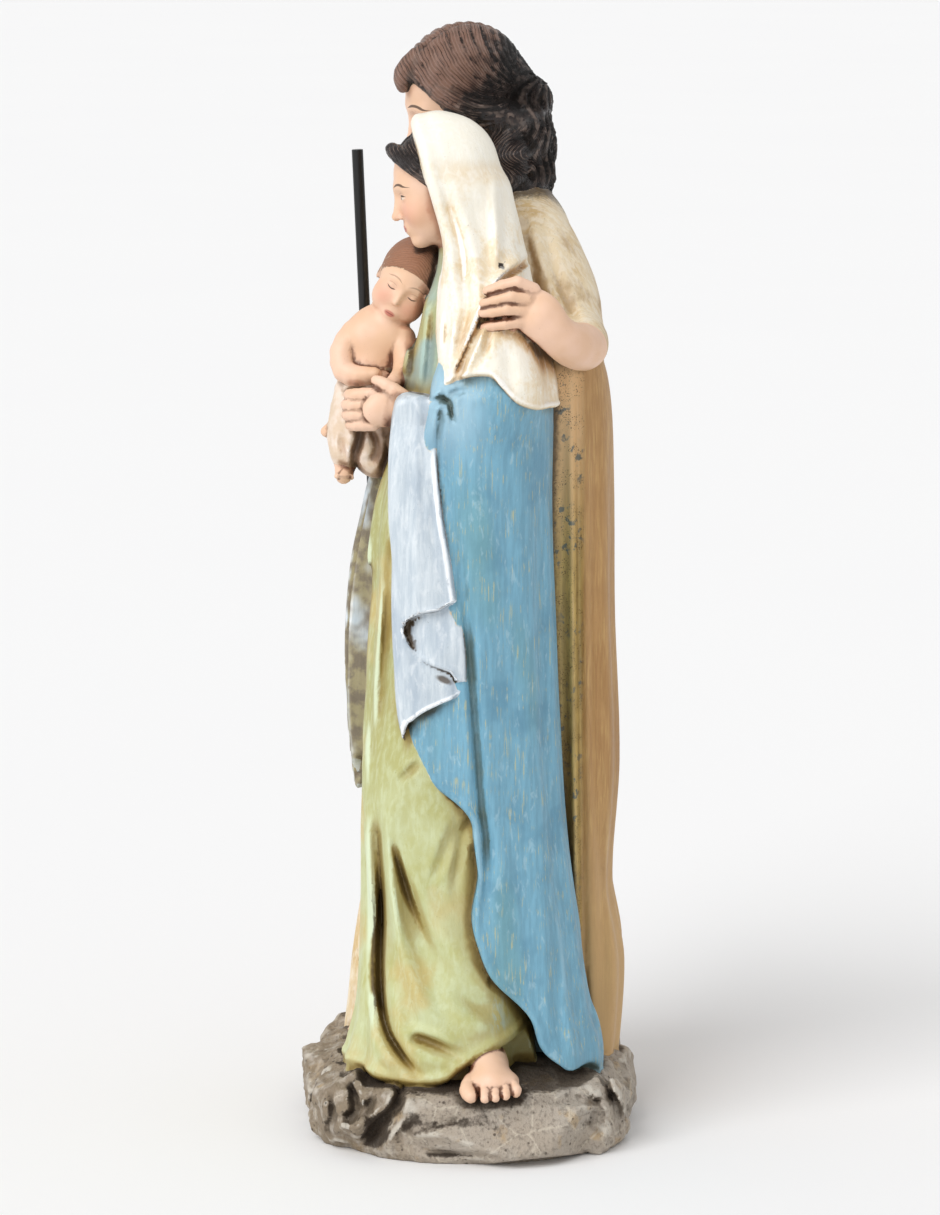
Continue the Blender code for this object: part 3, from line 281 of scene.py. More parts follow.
def hair_cap(q, line, puff, count, relief, knot=(-0.42, -0.05), parting=1.0):
    """Hair combed from a parting to the nape. line is the hairline's forward, height and slope."""
    m = mirrored(q)
    d = ball(q, (0, -0.075, 0.125), (0.345 + puff, 0.43 + puff, 0.385 + puff))
    away, up = m[:, 1] - knot[0], m[:, 2] - knot[1]
    turn = np.arctan2(up, away)
    run = np.hypot(up, away)
    across = turn - 0.9 * (run - 0.5) + 0.35 * m[:, 0]
    split = q[:, 0] - 0.035 * np.sin(7.0 * q[:, 1] + 0.5)
    top = ramp(q[:, 2], 0.1, 0.3)
    d = d - relief * locks(across, 9 * run, count) * (1 - top * bump(split, 0.0, 0.05))
    d = d + parting * 0.03 * bump(split, 0.0, 0.022) * top
    ahead, brow, slope = line
    return smooth_max(d, (brow - q[:, 2]) * slope + (q[:, 1] - ahead) * (1.0 - 0.45 * slope), 0.02)


def hand(p, wrist, along, back, length, curl, thumb):
    """A hand with four fingers and a thumb. curl is the bend at the knuckles and at each joint in degrees."""
    along = np.asarray(along, float) / np.linalg.norm(along)
    back = np.asarray(back, float) - np.dot(back, along) * along
    back /= np.linalg.norm(back)
    axes = np.stack([thumb * np.cross(back, along), along, back], axis=1)
    q = (p - np.asarray(wrist, float)) @ axes / length
    d = ball(q, (0.0, 0.26, 0.0), (0.215, 0.30, 0.11))
    d = smooth_min(d, ball(q, (0.02, 0.36, 0.0), (0.235, 0.20, 0.095)), 0.05)
    d = smooth_min(d, limb(q, (0, -0.35, 0.0), (0, 0.1, 0), 0.165, 0.15), 0.10)
    for i, full in enumerate((0.46, 0.52, 0.48, 0.36)):
        lean = 0.075 - 0.05 * i
        point = np.array([0.165 - 0.11 * i, 0.47 - 0.035 * abs(i - 1.2), 0.01])
        rows = [[*point, 0.068]]
        for k, share in enumerate((0.45, 0.31, 0.24)):
            bend = np.radians(curl[0] + curl[1] * k)
            point = point + full * share * np.array([lean, np.cos(bend), -np.sin(bend)])
            rows.append([*point, 0.054 - 0.008 * k])
        d = smooth_min(d, strand(q, rows, per_span=1), 0.025)
    rows = [[0.15, 0.14, -0.03, 0.085], [0.27, 0.34, -0.09, 0.07], [0.29, 0.52, -0.13, 0.058]]
    return smooth_min(d, strand(q, rows, per_span=1), 0.05) * length


# Places and tables, in carver's millimetres; the figures stand on the rock at 17
WOMAN_HEAD = dict(place=(17.5, -8.3, 262.0), axes=facing(4, 16, 0), size=30.5)
MAN_HEAD = dict(place=(-19.0, -3.2, 283.8), axes=facing(10, 22, 15), size=36.5)
CHILD_HEAD = dict(place=(8.5, -16.6, 235.0), axes=facing(78, 12, 32), size=24.5)
CORNERS = np.array([[i, j, k] for i in (0, 1) for j in (0, 1) for k in (0, 1)])
STAFF_TOP = (-45.0, -31.8, 267.2)
STAFF_FOOT = (-51.0, -21.5, 17.0)

DRESS = [
    [14, 22, -4, 25.5, 31.5, 23], [24, 22, -4, 25.0, 30.5, 22], [37, 22, -4, 23.5, 27.5, 21],
    [64, 21, -4, 22.0, 26.0, 20], [101, 20, -4, 21.0, 26.0, 19], [145, 19, -3, 20.0, 25.0, 18],
    [176, 19, -2, 18.0, 23.5, 15], [200, 20, -1, 18.0, 17.5, 14], [214, 20, -1, 18.0, 16.5, 13],
    [226, 20, 0, 15.5, 13.5, 12], [238, 19, 0, 9.0, 9.5, 9], [250, 18, -2, 6.0, 6.0, 7],
]
MANTLE = [
    [14, 24, 4, 22.5, 30, 32.5], [24, 24, 4, 22.5, 30, 33], [40, 24, 3, 22.0, 30, 30.5],
    [54, 24, 2, 22.0, 30, 29.0], [82, 23, 2, 22.0, 30, 25.0], [123, 22, 2, 22.8, 30, 21.8],
    [150, 22, 2, 23.2, 30, 20.8], [178, 22, 2, 22.8, 26, 20.2], [204, 22, 2, 22.6, 22, 20.4],
    [216, 22, 2, 20.5, 16, 17.0], [228, 21, 2, 15.0, 12, 12.5], [240, 19, 0, 8.0, 8, 8.0],
]
VEIL = [
    [200, 22, 3, 25.8, 15.0, 21.6], [212, 22, 3, 25.4, 14.5, 20.2], [222, 22, 3, 23.8, 13.5, 18.0],
    [234, 21, 2.5, 19.8, 12.5, 15.2], [246, 19.5, 1, 16.0, 12.5, 14.0], [256, 18.3, -2, 14.2, 13.5, 14.4],
    [266, 18, -4.5, 13.0, 13.5, 14.2],
]
TUNIC = [
    [14, -27, 4, 25.5, 40.0, 30], [24, -27, 4, 25.0, 38.5, 30], [40, -27, 4, 24.5, 37.0, 30],
    [64, -27, 5, 24.0, 34.5, 29], [101, -26, 6, 24.0, 30.5, 28], [145, -26, 7, 24.0, 27.5, 27],
    [176, -26, 8, 24.0, 25.0, 26], [205, -26, 9, 25.0, 22.0, 24], [226, -25, 10, 25.5, 19.0, 22],
    [240, -24, 11, 21.0, 15.5, 18.5], [252, -21, 9, 12.0, 11.5, 15.5], [262, -20, 7, 8.5, 9.0, 11.0],
]
CLOAK = [
    [14, -25, 8, 31.0, 34.0, 33], [24, -25, 8, 30.5, 32.0, 34], [44, -25, 8, 29.5, 30.0, 35],
    [67, -25, 8, 28.5, 28.0, 31.5], [102, -25, 8, 28.5, 27.0, 33.0], [144, -25, 8, 28.5, 26.0, 31.5],
    [180, -25, 8, 29.0, 25.0, 31.0], [205, -25, 9, 30.5, 23.0, 29.0], [226, -25, 10, 30.0, 19.0, 25.0],
    [240, -24, 11, 25.0, 15.5, 20.0], [252, -22, 10, 14.0, 11.0, 15.0],
]
DRAPE = [
    [14, 0, 26, 15.0, 16, 15.5], [24, 0, 26, 15.0, 16, 16.5], [44, 0, 26, 14.5, 16, 17.5],
    [67, 1, 25, 14.0, 16, 15.0], [102, 2, 25, 14.0, 16, 16.8], [144, 2, 24, 14.0, 16, 16.3],
    [180, 2, 23, 14.5, 16, 16.8], [200, 2, 22, 15.0, 16, 17.0], [212, 3, 21, 15.0, 15, 16.0],
    [222, 4, 20, 12.0, 12, 13.0],
]
FALL = [
    [92, -3, -18, 5.0, 14.0, 8], [115, -3, -17, 6.0, 17.0, 9], [145, -4, -16, 6.5, 17.5, 10],
    [173, -4, -14, 7.5, 15.0, 10], [190, -4, -11, 8.0, 13.0, 10],
]


UPPER_ARM = [(34.0, 5, 221, 9.5), (35.2, 8, 209, 10.4)]
FOREARM = [(34, 1, 202, 10.2), (31, -8, 201.8, 7.6), (30, -12.5, 202.4, 6.2)]


def woman_robes(p):
    x, y, z = p.T
    dress, turn = column(p, DRESS)
    dress += pleats(turn, z, [
        (17, 150, 8, 4, 9, 2.0), (17, 120, 30, 12, 9, 2.2), (17, 165, -14, -6, 9, 2.0),
        (17, 150, -36, -20, 9, 2.2), (17, 170, -60, -50, 10, 2.0), (110, 200, 24, 14, 7, 1.1),
    ])
    dress = smooth_min(dress, ball(p, (31, -13, 96), (10.5, 12.5, 27)), 9.0)
    side = ramp(x, 10, 20)
    for rows in DRESS_FOLDS:
        dress += side * crease(y, z, rows)
    dress += 0.25 * lattice_noise(p * (1, 1, 0.4), 6.0, 3)
    dress = smooth_max(dress, z - 246, 2)
    hem = curve(
        (-40, -30, -22, -13, -7, -1.4, 5, 10.8, 15.4, 24),
        (22, 21.0, 19.6, 19.4, 20.6, 24.6, 28.0, 30.2, 32.5, 36), y,
    )
    rim = 0.8 * bump(z, hem + 2.0, 1.5) * side
    skirt = smooth_max(
        dress - rim, (hem - z) * 0.9 * ramp(x, 20, 34) + (SOLE - z) * (1 - ramp(x, 20, 34)), 1.2,
    )
    dress = smooth_min(skirt, smooth_max(dress + 5.5, z - 60, 3), 1.0)

    mantle, turn = column(p, MANTLE)
    mantle += pleats(turn, z, [
        (14, 200, 152, 148, 9, 1.5), (14, 210, 172, 172, 9, 1.7), (14, 200, -168, -166, 9, 1.6),
        (14, 200, -146, -148, 9, 1.5),
    ])
    mantle = smooth_min(mantle, strand(p, UPPER_ARM + FOREARM, 2.0), 5.0)
    for rows in MANTLE_FOLDS:
        mantle += side * crease(y, z, rows)
    mantle += 0.22 * lattice_noise(p * (1, 1, 0.3), 7.0, 5)
    edge = curve(
        (14, 23.5, 26.3, 37.4, 50.5, 63.3, 70.8, 80, 87.4, 93.7, 103.9, 114.9, 130, 205, 225),
        (30, 25.0, 21.8, 16.3, 5.4, 0.8, 1.2, 1.9, 1.3, -0.6, -10.8, -16.4, -15.5, -11, -6), z)
    edge += 0.35 * np.sin(0.35 * z)
    front = 6.0 + (edge - 6.0) * ramp(x, 12, 22) - y
    rolled = 0.7 * bump(y, edge + 1.6, 1.4) * side * ramp(z, 20, 30)
    hem = curve((10, 20, 26, 31, 38), (24.2, 22.6, 22.2, 22.6, 24.5), y)
    shawl = smooth_max(mantle - rolled, front, 1.2)
    robe = smooth_max(shawl, (hem - z) * ramp(x, 22, 34) + (SOLE - z) * (1 - ramp(x, 22, 34)), 1.4)
    mantle = smooth_min(robe, smooth_max(shawl + 4.0, z - 40, 3), 0.8)
    other = strand(
        p,
        [
            (3, 3, 222, 9.5), (-3, 4, 207, 10), (-5.5, -4, 196, 9.2), (-3.5, -16, 189.5, 7.6),
            (1, -25.5, 186.5, 6.0),
        ],
        2.0,
    )
    other += 0.5 * np.sin(0.8 * z - 0.5 * y)
    mantle = smooth_min(mantle, other, 2.5)
    mantle = smooth_max(mantle, z - 236, 3)

    fall, turn = column(p, FALL)
    fall += pleats(
        turn, z, [(92, 205, 2, 10, 11, 1.6), (92, 205, 42, 34, 11, 1.5), (92, 205, -40, -30, 11, 1.5)],
    )
    fall += 0.5 * lattice_noise(p * (1, 1, 0.3), 5.0, 9)
    fall = smooth_max(fall, 97 + 5 * np.sin(0.75 * x + 0.35 * y) - z, 1.0)
    fall = smooth_max(fall, z - 191, 4)
    return {
        "dress": smooth_max(dress, SOLE - z, 1), "mantle": smooth_max(mantle, SOLE - z, 1),
        "lining": smooth_min(fall, cascade(p), 0.5),
    }


# Folds as rows of y, z, half width, depth
DRESS_FOLDS = (
    [
        (-25.9, 97, 1.2, 0.5), (-24.8, 87.6, 1.7, 1.5), (-23.9, 70, 2.1, 2.1), (-24.3, 50, 2.3, 2.3),
        (-23.1, 35.7, 2.3, 2.4), (-19.7, 28.8, 2.0, 2.6), (-13.0, 21.5, 1.5, 2.2),
    ],
    [
        (-23.8, 92, 1.5, -0.5), (-22.2, 77, 1.8, -1.4), (-20.0, 64, 2.0, -1.7), (-16.3, 50, 2.3, -1.6),
        (-10.5, 38.2, 2.6, -1.3), (-3, 32.2, 2.8, -0.7),
    ],
    [
        (-22.0, 91, 1.1, 0.9), (-18.4, 77, 1.9, 1.5), (-14.7, 66, 2.4, 1.7), (-10.6, 55.7, 3.2, 1.8),
        (-6.8, 49.3, 3.8, 1.8), (-1.4, 43.2, 3.8, 1.5), (5, 40.4, 3.2, 1.1), (11, 42.4, 2.2, 0.4),
    ],
    [(-8.0, 50, 3.0, -0.5), (-2, 39.5, 3.0, -0.9), (6, 35.5, 2.6, -0.7)],
    [(-1.8, 94, 2.0, 1.0), (-4.9, 87.6, 1.8, 1.0), (-8.1, 80.7, 1.4, 0.7), (-10.8, 74.6, 1.0, 0.3)],
    [(1.0, 94, 1.3, 1.1), (-2.0, 87.6, 1.5, 1.2), (-3.5, 79.5, 1.3, 0.7), (-4.5, 70, 1.2, 0.3)],
    [(-13.4, 108.8, 1.0, 0.9), (-16.4, 105.8, 1.0, 0.9), (-19.6, 102.4, 0.9, 0.3)],
    [
        (-17.0, 31.4, 1.1, 0.5), (-13.8, 32.4, 1.6, 1.5), (-9, 30.8, 1.9, 1.5), (-4.9, 28.9, 1.6, 1.0),
        (-1.6, 27.9, 1.2, 0.4),
    ],
    [(-16, 34.8, 1.3, -0.3), (-9, 33.6, 1.4, -0.7), (-2, 31.2, 1.4, -0.4)],
    [(-21.1, 156, 1.2, 0.6), (-23.2, 134, 1.4, 1.3), (-24.4, 118, 1.2, 0.7), (-25.4, 104, 1.1, 0.4)],
    [(-25.5, 168, 1.1, 0.9), (-27.0, 152, 1.4, 1.5), (-28.9, 134, 1.4, 1.5), (-28.8, 112, 1.2, 0.8)],
    [(-17.5, 196, 1.2, 0.6), (-19.5, 176, 1.3, 1.0), (-21.0, 158, 1.2, 0.5)],
    [(-20.5, 100, 2.6, -0.5), (-21.5, 92, 3.0, -0.7), (-20.0, 84, 2.4, -0.4)],
    [(-13.5, 236, 1.0, 0.6), (-14.6, 222, 1.3, 1.2), (-16.0, 208, 1.2, 1.2)],
    [(-9.5, 232, 0.9, 0.6), (-10.4, 220, 1.2, 1.1), (-11.6, 208, 1.0, 0.9)],
    [
        (-25.2, 92, 0.8, 0.4), (-23.9, 70, 0.9, 0.7), (-24.3, 50, 1.0, 0.9), (-23.1, 35.7, 1.0, 0.9),
        (-19.7, 28.8, 1.0, 1.0), (-13.0, 21.5, 0.9, 0.8),
    ],
    [(-21.8, 90, 0.8, 0.4), (-18.4, 77, 0.9, 0.7), (-14.9, 66, 1.0, 0.6), (-11.0, 56.5, 1.1, 0.3)],
    [(-24.6, 168, 0.8, 0.5), (-25.8, 140, 0.9, 0.8), (-26.5, 118, 0.9, 0.6), (-26.4, 96, 0.8, 0.4)],
)
MANTLE_FOLDS = (
    [
        (-5.6, 190, 1.2, 0.4), (-1.9, 160, 1.4, 0.9), (0.3, 134, 1.5, 1.2), (2.7, 101.5, 1.8, 1.5),
        (4.2, 82, 2.3, 1.8), (3.2, 62, 1.9, 1.0),
    ],
    [(6.5, 96, 2.6, 0.7), (6.0, 80, 3.0, 1.0), (6.0, 66, 2.2, 0.4)],
    [
        (-1.0, 150, 0.9, 0.2), (0.5, 132, 1.0, 0.4), (2.9, 101, 1.0, 0.5), (4.4, 82, 1.1, 0.6),
        (3.4, 64, 0.9, 0.3),
    ],
    [(21.0, 76, 1.4, 0.3), (22.8, 54.6, 1.5, 0.8), (24.4, 36, 1.6, 0.9), (25.5, 26, 1.2, 0.5)],
    [(30.5, 60, 1.4, 0.3), (32.4, 42, 1.3, 0.7), (34.5, 28, 1.2, 0.5)],
    [(8.0, 200, 3.6, 0.5), (10.5, 150, 4.2, 0.8), (12.5, 100, 4.2, 0.8), (15.5, 40, 3.6, 0.6)],
    [(16.0, 200, 2.6, 0.3), (18.0, 130, 3.0, 0.6), (20.5, 70, 2.8, 0.5)],
    [(-5.9, 207.6, 1.2, 1.6), (-8.4, 206.7, 1.0, 1.6), (-11.0, 205.4, 0.8, 0.8)],
    [(-5.9, 207.8, 1.3, 1.9), (-5.0, 204.2, 1.0, 1.8), (-4.0, 200.6, 0.7, 0.5)],
    [(-6.4, 207, 0.9, 1.2), (-7.6, 202.5, 0.9, 1.0), (-8.4, 194, 0.8, 0.6), (-8.6, 184, 0.7, 0.3)],
    [(-5.9, 208, 0.9, 1.2), (-3.2, 209.3, 0.8, 0.9), (-1.0, 209.6, 0.6, 0.3)],
    [(-1.0, 206.5, 1.6, -0.5), (3.5, 207.5, 1.8, -0.5), (8.0, 204.5, 1.8, -0.4)],
)
VEIL_FOLDS = (
    [
        (-8.2, 266, 1.2, 0.4), (-5.4, 257, 1.6, 1.1), (-2.8, 249, 1.9, 1.6), (-1.0, 240, 2.0, 1.9),
        (-0.6, 231, 1.8, 1.7), (-2.4, 220, 1.5, 1.4), (-5.0, 209.2, 1.1, 0.8),
    ],
    [(1.6, 262, 2.6, 0.3), (3.0, 252, 3.0, 1.0), (3.6, 243, 2.4, 0.9), (3.0, 235, 1.5, 0.4)],
    [(6.2, 267, 1.3, -0.2), (6.9, 255.7, 1.3, -0.7), (7.2, 247, 1.2, -0.8), (6.9, 240.8, 1.0, -0.5)],
    [(8.6, 262, 2.2, 0.3), (9.8, 252, 2.2, 0.6), (10.5, 245, 1.6, 0.4)],
    [
        (19.5, 245.0, 0.6, 0.6), (14.6, 241.6, 0.8, 1.3), (9.3, 238.6, 0.8, 1.7), (5.3, 232.6, 0.9, 1.8),
        (1.3, 224.1, 0.9, 1.8), (-2.1, 216.0, 0.9, 1.7), (-5.6, 207.8, 0.8, 1.6),
    ],
    [
        (18.0, 246.8, 1.4, -0.4), (9.0, 240.4, 1.4, -0.7), (3.8, 233.6, 1.3, -0.7),
        (-0.6, 224.1, 1.2, -0.7), (-4.2, 214.0, 1.0, -0.5),
    ],
    [(5.2, 227.5, 0.9, 0.5), (4.6, 222.0, 1.0, 0.9), (3.0, 217.0, 0.8, 0.3)],
    [(9.6, 222.0, 1.5, 0.5), (10.5, 214.0, 1.8, 0.6), (11.5, 208.0, 1.4, 0.3)],
    [(-5.5, 232, 0.9, 0.4), (-6.2, 224, 1.0, 0.9), (-6.6, 216, 0.8, 0.4)],
)


def cascade(p):
    """The turned edge of her mantle, falling in a zigzag from the left forearm."""
    x, y, z = p.T
    face = curve((106, 125, 150, 176, 190, 200), (42.4, 44.6, 45.6, 44.2, 42.6, 39.9), z)
    face -= 0.028 * np.minimum(y + 9, 0) ** 2 + 0.008 * np.maximum(y + 9, 0) ** 2
    right = curve(
        (114, 120, 124.7, 127.4, 131, 137, 146, 152.2, 164, 176, 188, 204),
        (-16.9, -15.3, -8.2, -2.6, -1.2, -1.2, -2.2, -3.6, -5.4, -7.4, -8.7, -9.4), z,
    )
    left = curve(
        (112, 118, 134, 152, 161, 176, 200, 208), (-17.2, -18.9, -20.4, -21.1, -20.9, -21.9, -21.0, -19.4),
        z,
    )
    hem_a = curve(
        (-17.9, -17.2, -15.6, -12.3, -8.2, -4.3, 0), (144.4, 146.4, 148.0, 149.6, 150.4, 152.6, 153.5), y,
    )
    hem_b = curve(
        (-17.9, -16.6, -13.5, -10.5, -7, -4.9, -3.6), (144.4, 141.2, 137.6, 135.6, 134.3, 133.2, 131.0), y,
    )
    hem_c = curve(
        (-18, -17.4, -15.3, -12.4, -8.2, -3.2, -1), (114.0, 117.2, 120.2, 122.6, 124.7, 127.4, 130.0), y,
    )
    inside = ramp(y, -18.2, -17.4)
    under_a = np.maximum(hem_a - z, 0)
    under_b = np.maximum(hem_b - z, 0)
    lobe = inside * ramp(hem_a - z, -0.8, 0.5) * ramp(z - hem_b, -0.6, 0.6)
    relief = 0.9 - 0.45 * ramp(y, -16, -19) - 0.75 * bump(y, -16.6, 1.0) * (z > 112) * ramp(z, 140, 165)
    relief = relief - 0.45 * bump(y, -12.4, 1.1) * ramp(z, 160, 185) - 0.5 * bump(
        y, -9.4 - 0.02 * (z - 150), 1.1,
    ) * ramp(z, 155, 175)
    relief = relief + 0.35 * bump(y, -14.3, 1.4) * ramp(z, 140, 160)
    pocket = -0.7 - 1.9 * bump(y, -16.6, 3.0) - 0.7 * np.exp(-under_a / 1.6)
    pocket = pocket + 1.5 * ramp(under_a, 2, 13) * ramp(y, -16, -7)
    lower = 1.0 * ramp(under_b, 0.2, 6.0) - 0.7 * np.exp(-under_b / 2.0) * ramp(y, -18, -12) - 0.5 * np.exp(
        -((y + 6.8) / 2.2) ** 2 - ((z - 131.8) / 1.6) ** 2
    )
    below = inside * ramp(hem_b - z, -0.6, 0.6) * (z < 146)
    relief = np.where(lobe > 0, relief + lobe * (pocket - relief), relief)
    relief = np.where(below > 0, relief + below * (lower - relief), relief)
    for line in (hem_a, hem_b, hem_c):
        relief += 0.45 * np.exp(-((z - line - 0.7) / 0.6) ** 2) * inside
    relief += 0.4 * np.exp(-((right - 0.8 - y) / 0.7) ** 2) * (z > 150)
    relief += 0.12 * lattice_noise(p * (1, 1, 0.4), 3.0, 7)
    d = smooth_max(x - face - relief, 0.95 * (left - y), 1.6)
    d = smooth_max(d, 0.9 * (y - right), 0.8)
    d = smooth_max(d, 0.85 * (hem_c - z), 0.7)
    d = smooth_max(d, z - 207.5, 3)
    return smooth_max(d, face - 12 - x, 1)


def veil_cloth(p):
    x, y, z = p.T
    q = on_head(p, WOMAN_HEAD)
    hood = ball(q, (0, -0.10, 0.12), (0.43, 0.47, 0.505)) * WOMAN_HEAD["size"]
    hood = smooth_min(hood, ball(p, (18, -9.5, 268.0), (11.5, 8.5, 12.6)), 4.0)
    fall, turn = column(p, VEIL)
    shell = smooth_min(hood, smooth_max(fall, z - 264, 4), 6.0)
    shell = smooth_min(shell, strand(p, UPPER_ARM, 2.0) - 1.4, 3.0)
    d = shell.copy()
    side = ramp(x, 20, 26)
    for rows in VEIL_FOLDS:
        d += side * crease(y, z, rows)
    d += pleats(
        turn, z,
        [(203, 254, 150, 158, 11, 1.3), (203, 254, 178, 180, 11, 1.4), (203, 254, -155, -162, 11, 1.3)],
    )
    d += 0.2 * lattice_noise(p * (1, 1, 0.5), 5.0, 11)
    lower = curve(
        (-12, -6.1, 0, 5.3, 8.5, 12, 16, 22.1, 27),
        (206, 210.8, 213.4, 213.6, 210.6, 206.8, 204.6, 203.4, 203), y,
    )
    edge = curve(
        (203, 213, 223.6, 234, 245, 258.6, 266, 272, 278.7, 284),
        (-6.7, -8.1, -9.4, -8.6, -7.2, -10.2, -12.4, -13.9, -16.2, -18), z,
    )
    d -= 0.9 * bump(y, edge + 2.2, 1.9) * ramp(z, 205, 225)
    d -= 0.5 * np.exp(-((z - lower - 1.0) / 0.8) ** 2) * side
    d = smooth_max(d, (lower - z) * 0.9, 1.0)
    d = smooth_max(d, edge - y, 1.4)
    hollow = smooth_max(shell + 2.3, y - edge - 6.5, 1.0)
    return smooth_max(d, -hollow, 0.8)


def woman_skin(p):
    q = on_head(p, WOMAN_HEAD)
    head = head_skin(q) * WOMAN_HEAD["size"]
    return smooth_min(head, limb(p, (17.5, -4, 254), (18.5, 0, 238), 5.6, 6.8), 2.0)


def woman_hand(p):
    """Her left hand, seen from its back, with the fingers round the child's cloth."""
    d = ball((p - (29.4, -22.6, 203.0)) @ facing(14, 6, 0), (0, 0, 0), (3.1, 6.4, 5.0))
    for i in range(4):
        z = 207.0 - 2.7 * i
        reach = -31.4 - 1.6 * math.sin(0.8 * i + 0.5)
        rows = [
            (28.8, -26.0, z - 0.2, 1.9), (27.8, reach + 1.2, z - 0.5, 1.7),
            (24.6, reach - 0.4, z - 0.9, 1.5), (21.4, reach + 0.6, z - 1.0, 1.3),
        ]
        d = smooth_min(d, strand(p, rows, 0.4), 0.5)
    d = smooth_min(
        d,
        strand(p, [(30.2, -18.6, 206.6, 2.2), (29.4, -22.4, 209.2, 1.8), (28.0, -25.2, 210.4, 1.5)], 0.5),
        0.8,
    )
    return smooth_min(d, limb(p, (32, -8, 201.6), (30.6, -18, 202.6), 5.0, 4.0), 1.8)


def woman_right_hand(p):
    return hand(p, (1.5, -27.0, 186.0), (0.86, -0.42, 0.30), (0.25, -0.3, -0.95), 15.0, (6, 12), 1.0)


def woman_foot(p):
    """Her bare left foot, turned out, with its toes over the edge of the rock."""
    d = strand(p, [(38, 5, 25, 5.2), (45, 5.4, 23.6, 5.0), (50.5, 5.8, 21.8, 4.2)], 1.0)
    d = smooth_min(d, ball(p, (48.5, 6.0, 21.6), (6.4, 7.4, 3.9)), 1.5)
    d = smooth_min(
        d, strand(p, [(48, 0.6, 21.6, 2.5), (53.0, -0.6, 20.4, 2.2), (56.0, 0.2, 19.6, 1.9)], 0.5), 0.3,
    )
    for i in range(4):
        y = 4.0 + 2.8 * i
        reach = 57.0 - 0.45 * (i - 0.5) ** 2
        rows = [
            (49.5, 3.6 + 2.4 * i, 21.9, 1.7), (53.8, y, 21.2 - 0.1 * i, 1.45),
            (reach, y, 19.3 + 0.2 * i, 1.4 - 0.08 * i),
        ]
        d = smooth_min(d, strand(p, rows, 0.4), 0.22)
    return d


def child_body(p):
    q = on_head(p, CHILD_HEAD)
    size = CHILD_HEAD["size"]
    skin = smooth_min(head_skin(q, 1.0) * size, ears(q) * size, 0.4)
    skin = smooth_min(skin, limb(p, (8, -20.5, 228), (7.5, -24.5, 223), 4.6, 5.6), 1.2)
    torso = strand(p, [(7.5, -25.5, 221.5, 7.4), (8, -26, 215, 8.0), (8.5, -26, 208, 8.6)], 2.0)
    torso = smooth_min(torso, ball(p, (9.5, -29.0, 220.5), (5.4, 5.6, 4.8)), 3)
    torso = smooth_min(torso, ball(p, (10, -21.5, 220), (6.0, 6.0, 5.6)), 3)
    skin = smooth_min(skin, torso, 1.2)
    skin = smooth_min(
        skin,
        strand(
            p,
            [
                (9.5, -31.6, 221.4, 3.6), (12, -34.6, 216.4, 3.5), (14.5, -34.0, 211.6, 3.2),
                (17.4, -30.0, 210.4, 2.7), (18.8, -26, 210.9, 2.1),
            ],
            0.6,
        ),
        0.35,
    )
    skin = smooth_min(
        skin, hand(p, (18.6, -26.0, 210.8), (0.1, 0.97, -0.2), (0.9, 0, 0.35), 6.6, (14, 18), 1.0), 0.4,
    )
    skin = smooth_min(
        skin,
        strand(
            p,
            [(12, -18.5, 220, 3.8), (16, -17.5, 215, 3.3), (20, -18.5, 211, 2.7), (25, -20.5, 209.6, 2.2)],
            0.6,
        ),
        0.5,
    )
    skin = smooth_min(
        skin, hand(p, (26.0, -20.4, 209.6), (0.55, -0.75, -0.2), (0.4, 0.1, 0.9), 7.2, (16, 34), -1.0), 0.3,
    )
    skin = smooth_min(
        skin, strand(p, [(12, -34.5, 190, 2.8), (13.5, -34.2, 184.5, 2.6), (17, -34.4, 183.0, 2.2)], 0.6),
        0.6,
    )
    for i in range(5):
        toe = (19.0 - 0.25 * i, -36.2 + 1.05 * i, 183.3 - 0.12 * i)
        skin = smooth_min(skin, ball(p, toe, (1.0, 0.72 - 0.06 * i, 0.8)), 0.25)
    skin = smooth_min(skin, strand(p, [(9, -36, 196, 2.4), (11, -39.2, 194.5, 1.6)], 0.5), 0.5)
    x, y, z = p.T
    cloth = strand(
        p, [(8, -25.5, 209, 9.6), (9, -27.5, 203, 9.4), (11, -30.5, 196, 7.6), (12.5, -33.0, 189.5, 5.4)],
        2.0,
    )
    cloth = smooth_min(
        cloth, strand(p, [(8, -23.5, 204, 8.0), (13, -24.5, 193, 6.8), (14, -26, 187, 5.0)], 1.0), 1.4,
    )
    side = ramp(x, 6, 12)
    for rows in SWADDLE_FOLDS:
        cloth += side * crease(y, z, rows)
    cloth += 0.35 * np.sin(
        1.15 * z + 0.35 * y + 0.9 * np.sin(0.5 * y)
    ) * (1 - side) + 0.3 * lattice_noise(p, 3.0, 13)
    hair = hair_cap(q, (0.25, 0.15, 0.62), 0.025, 8.0, 0.006, parting=0.0) * size
    return {"skin": skin, "child_hair": hair, "swaddle": cloth}


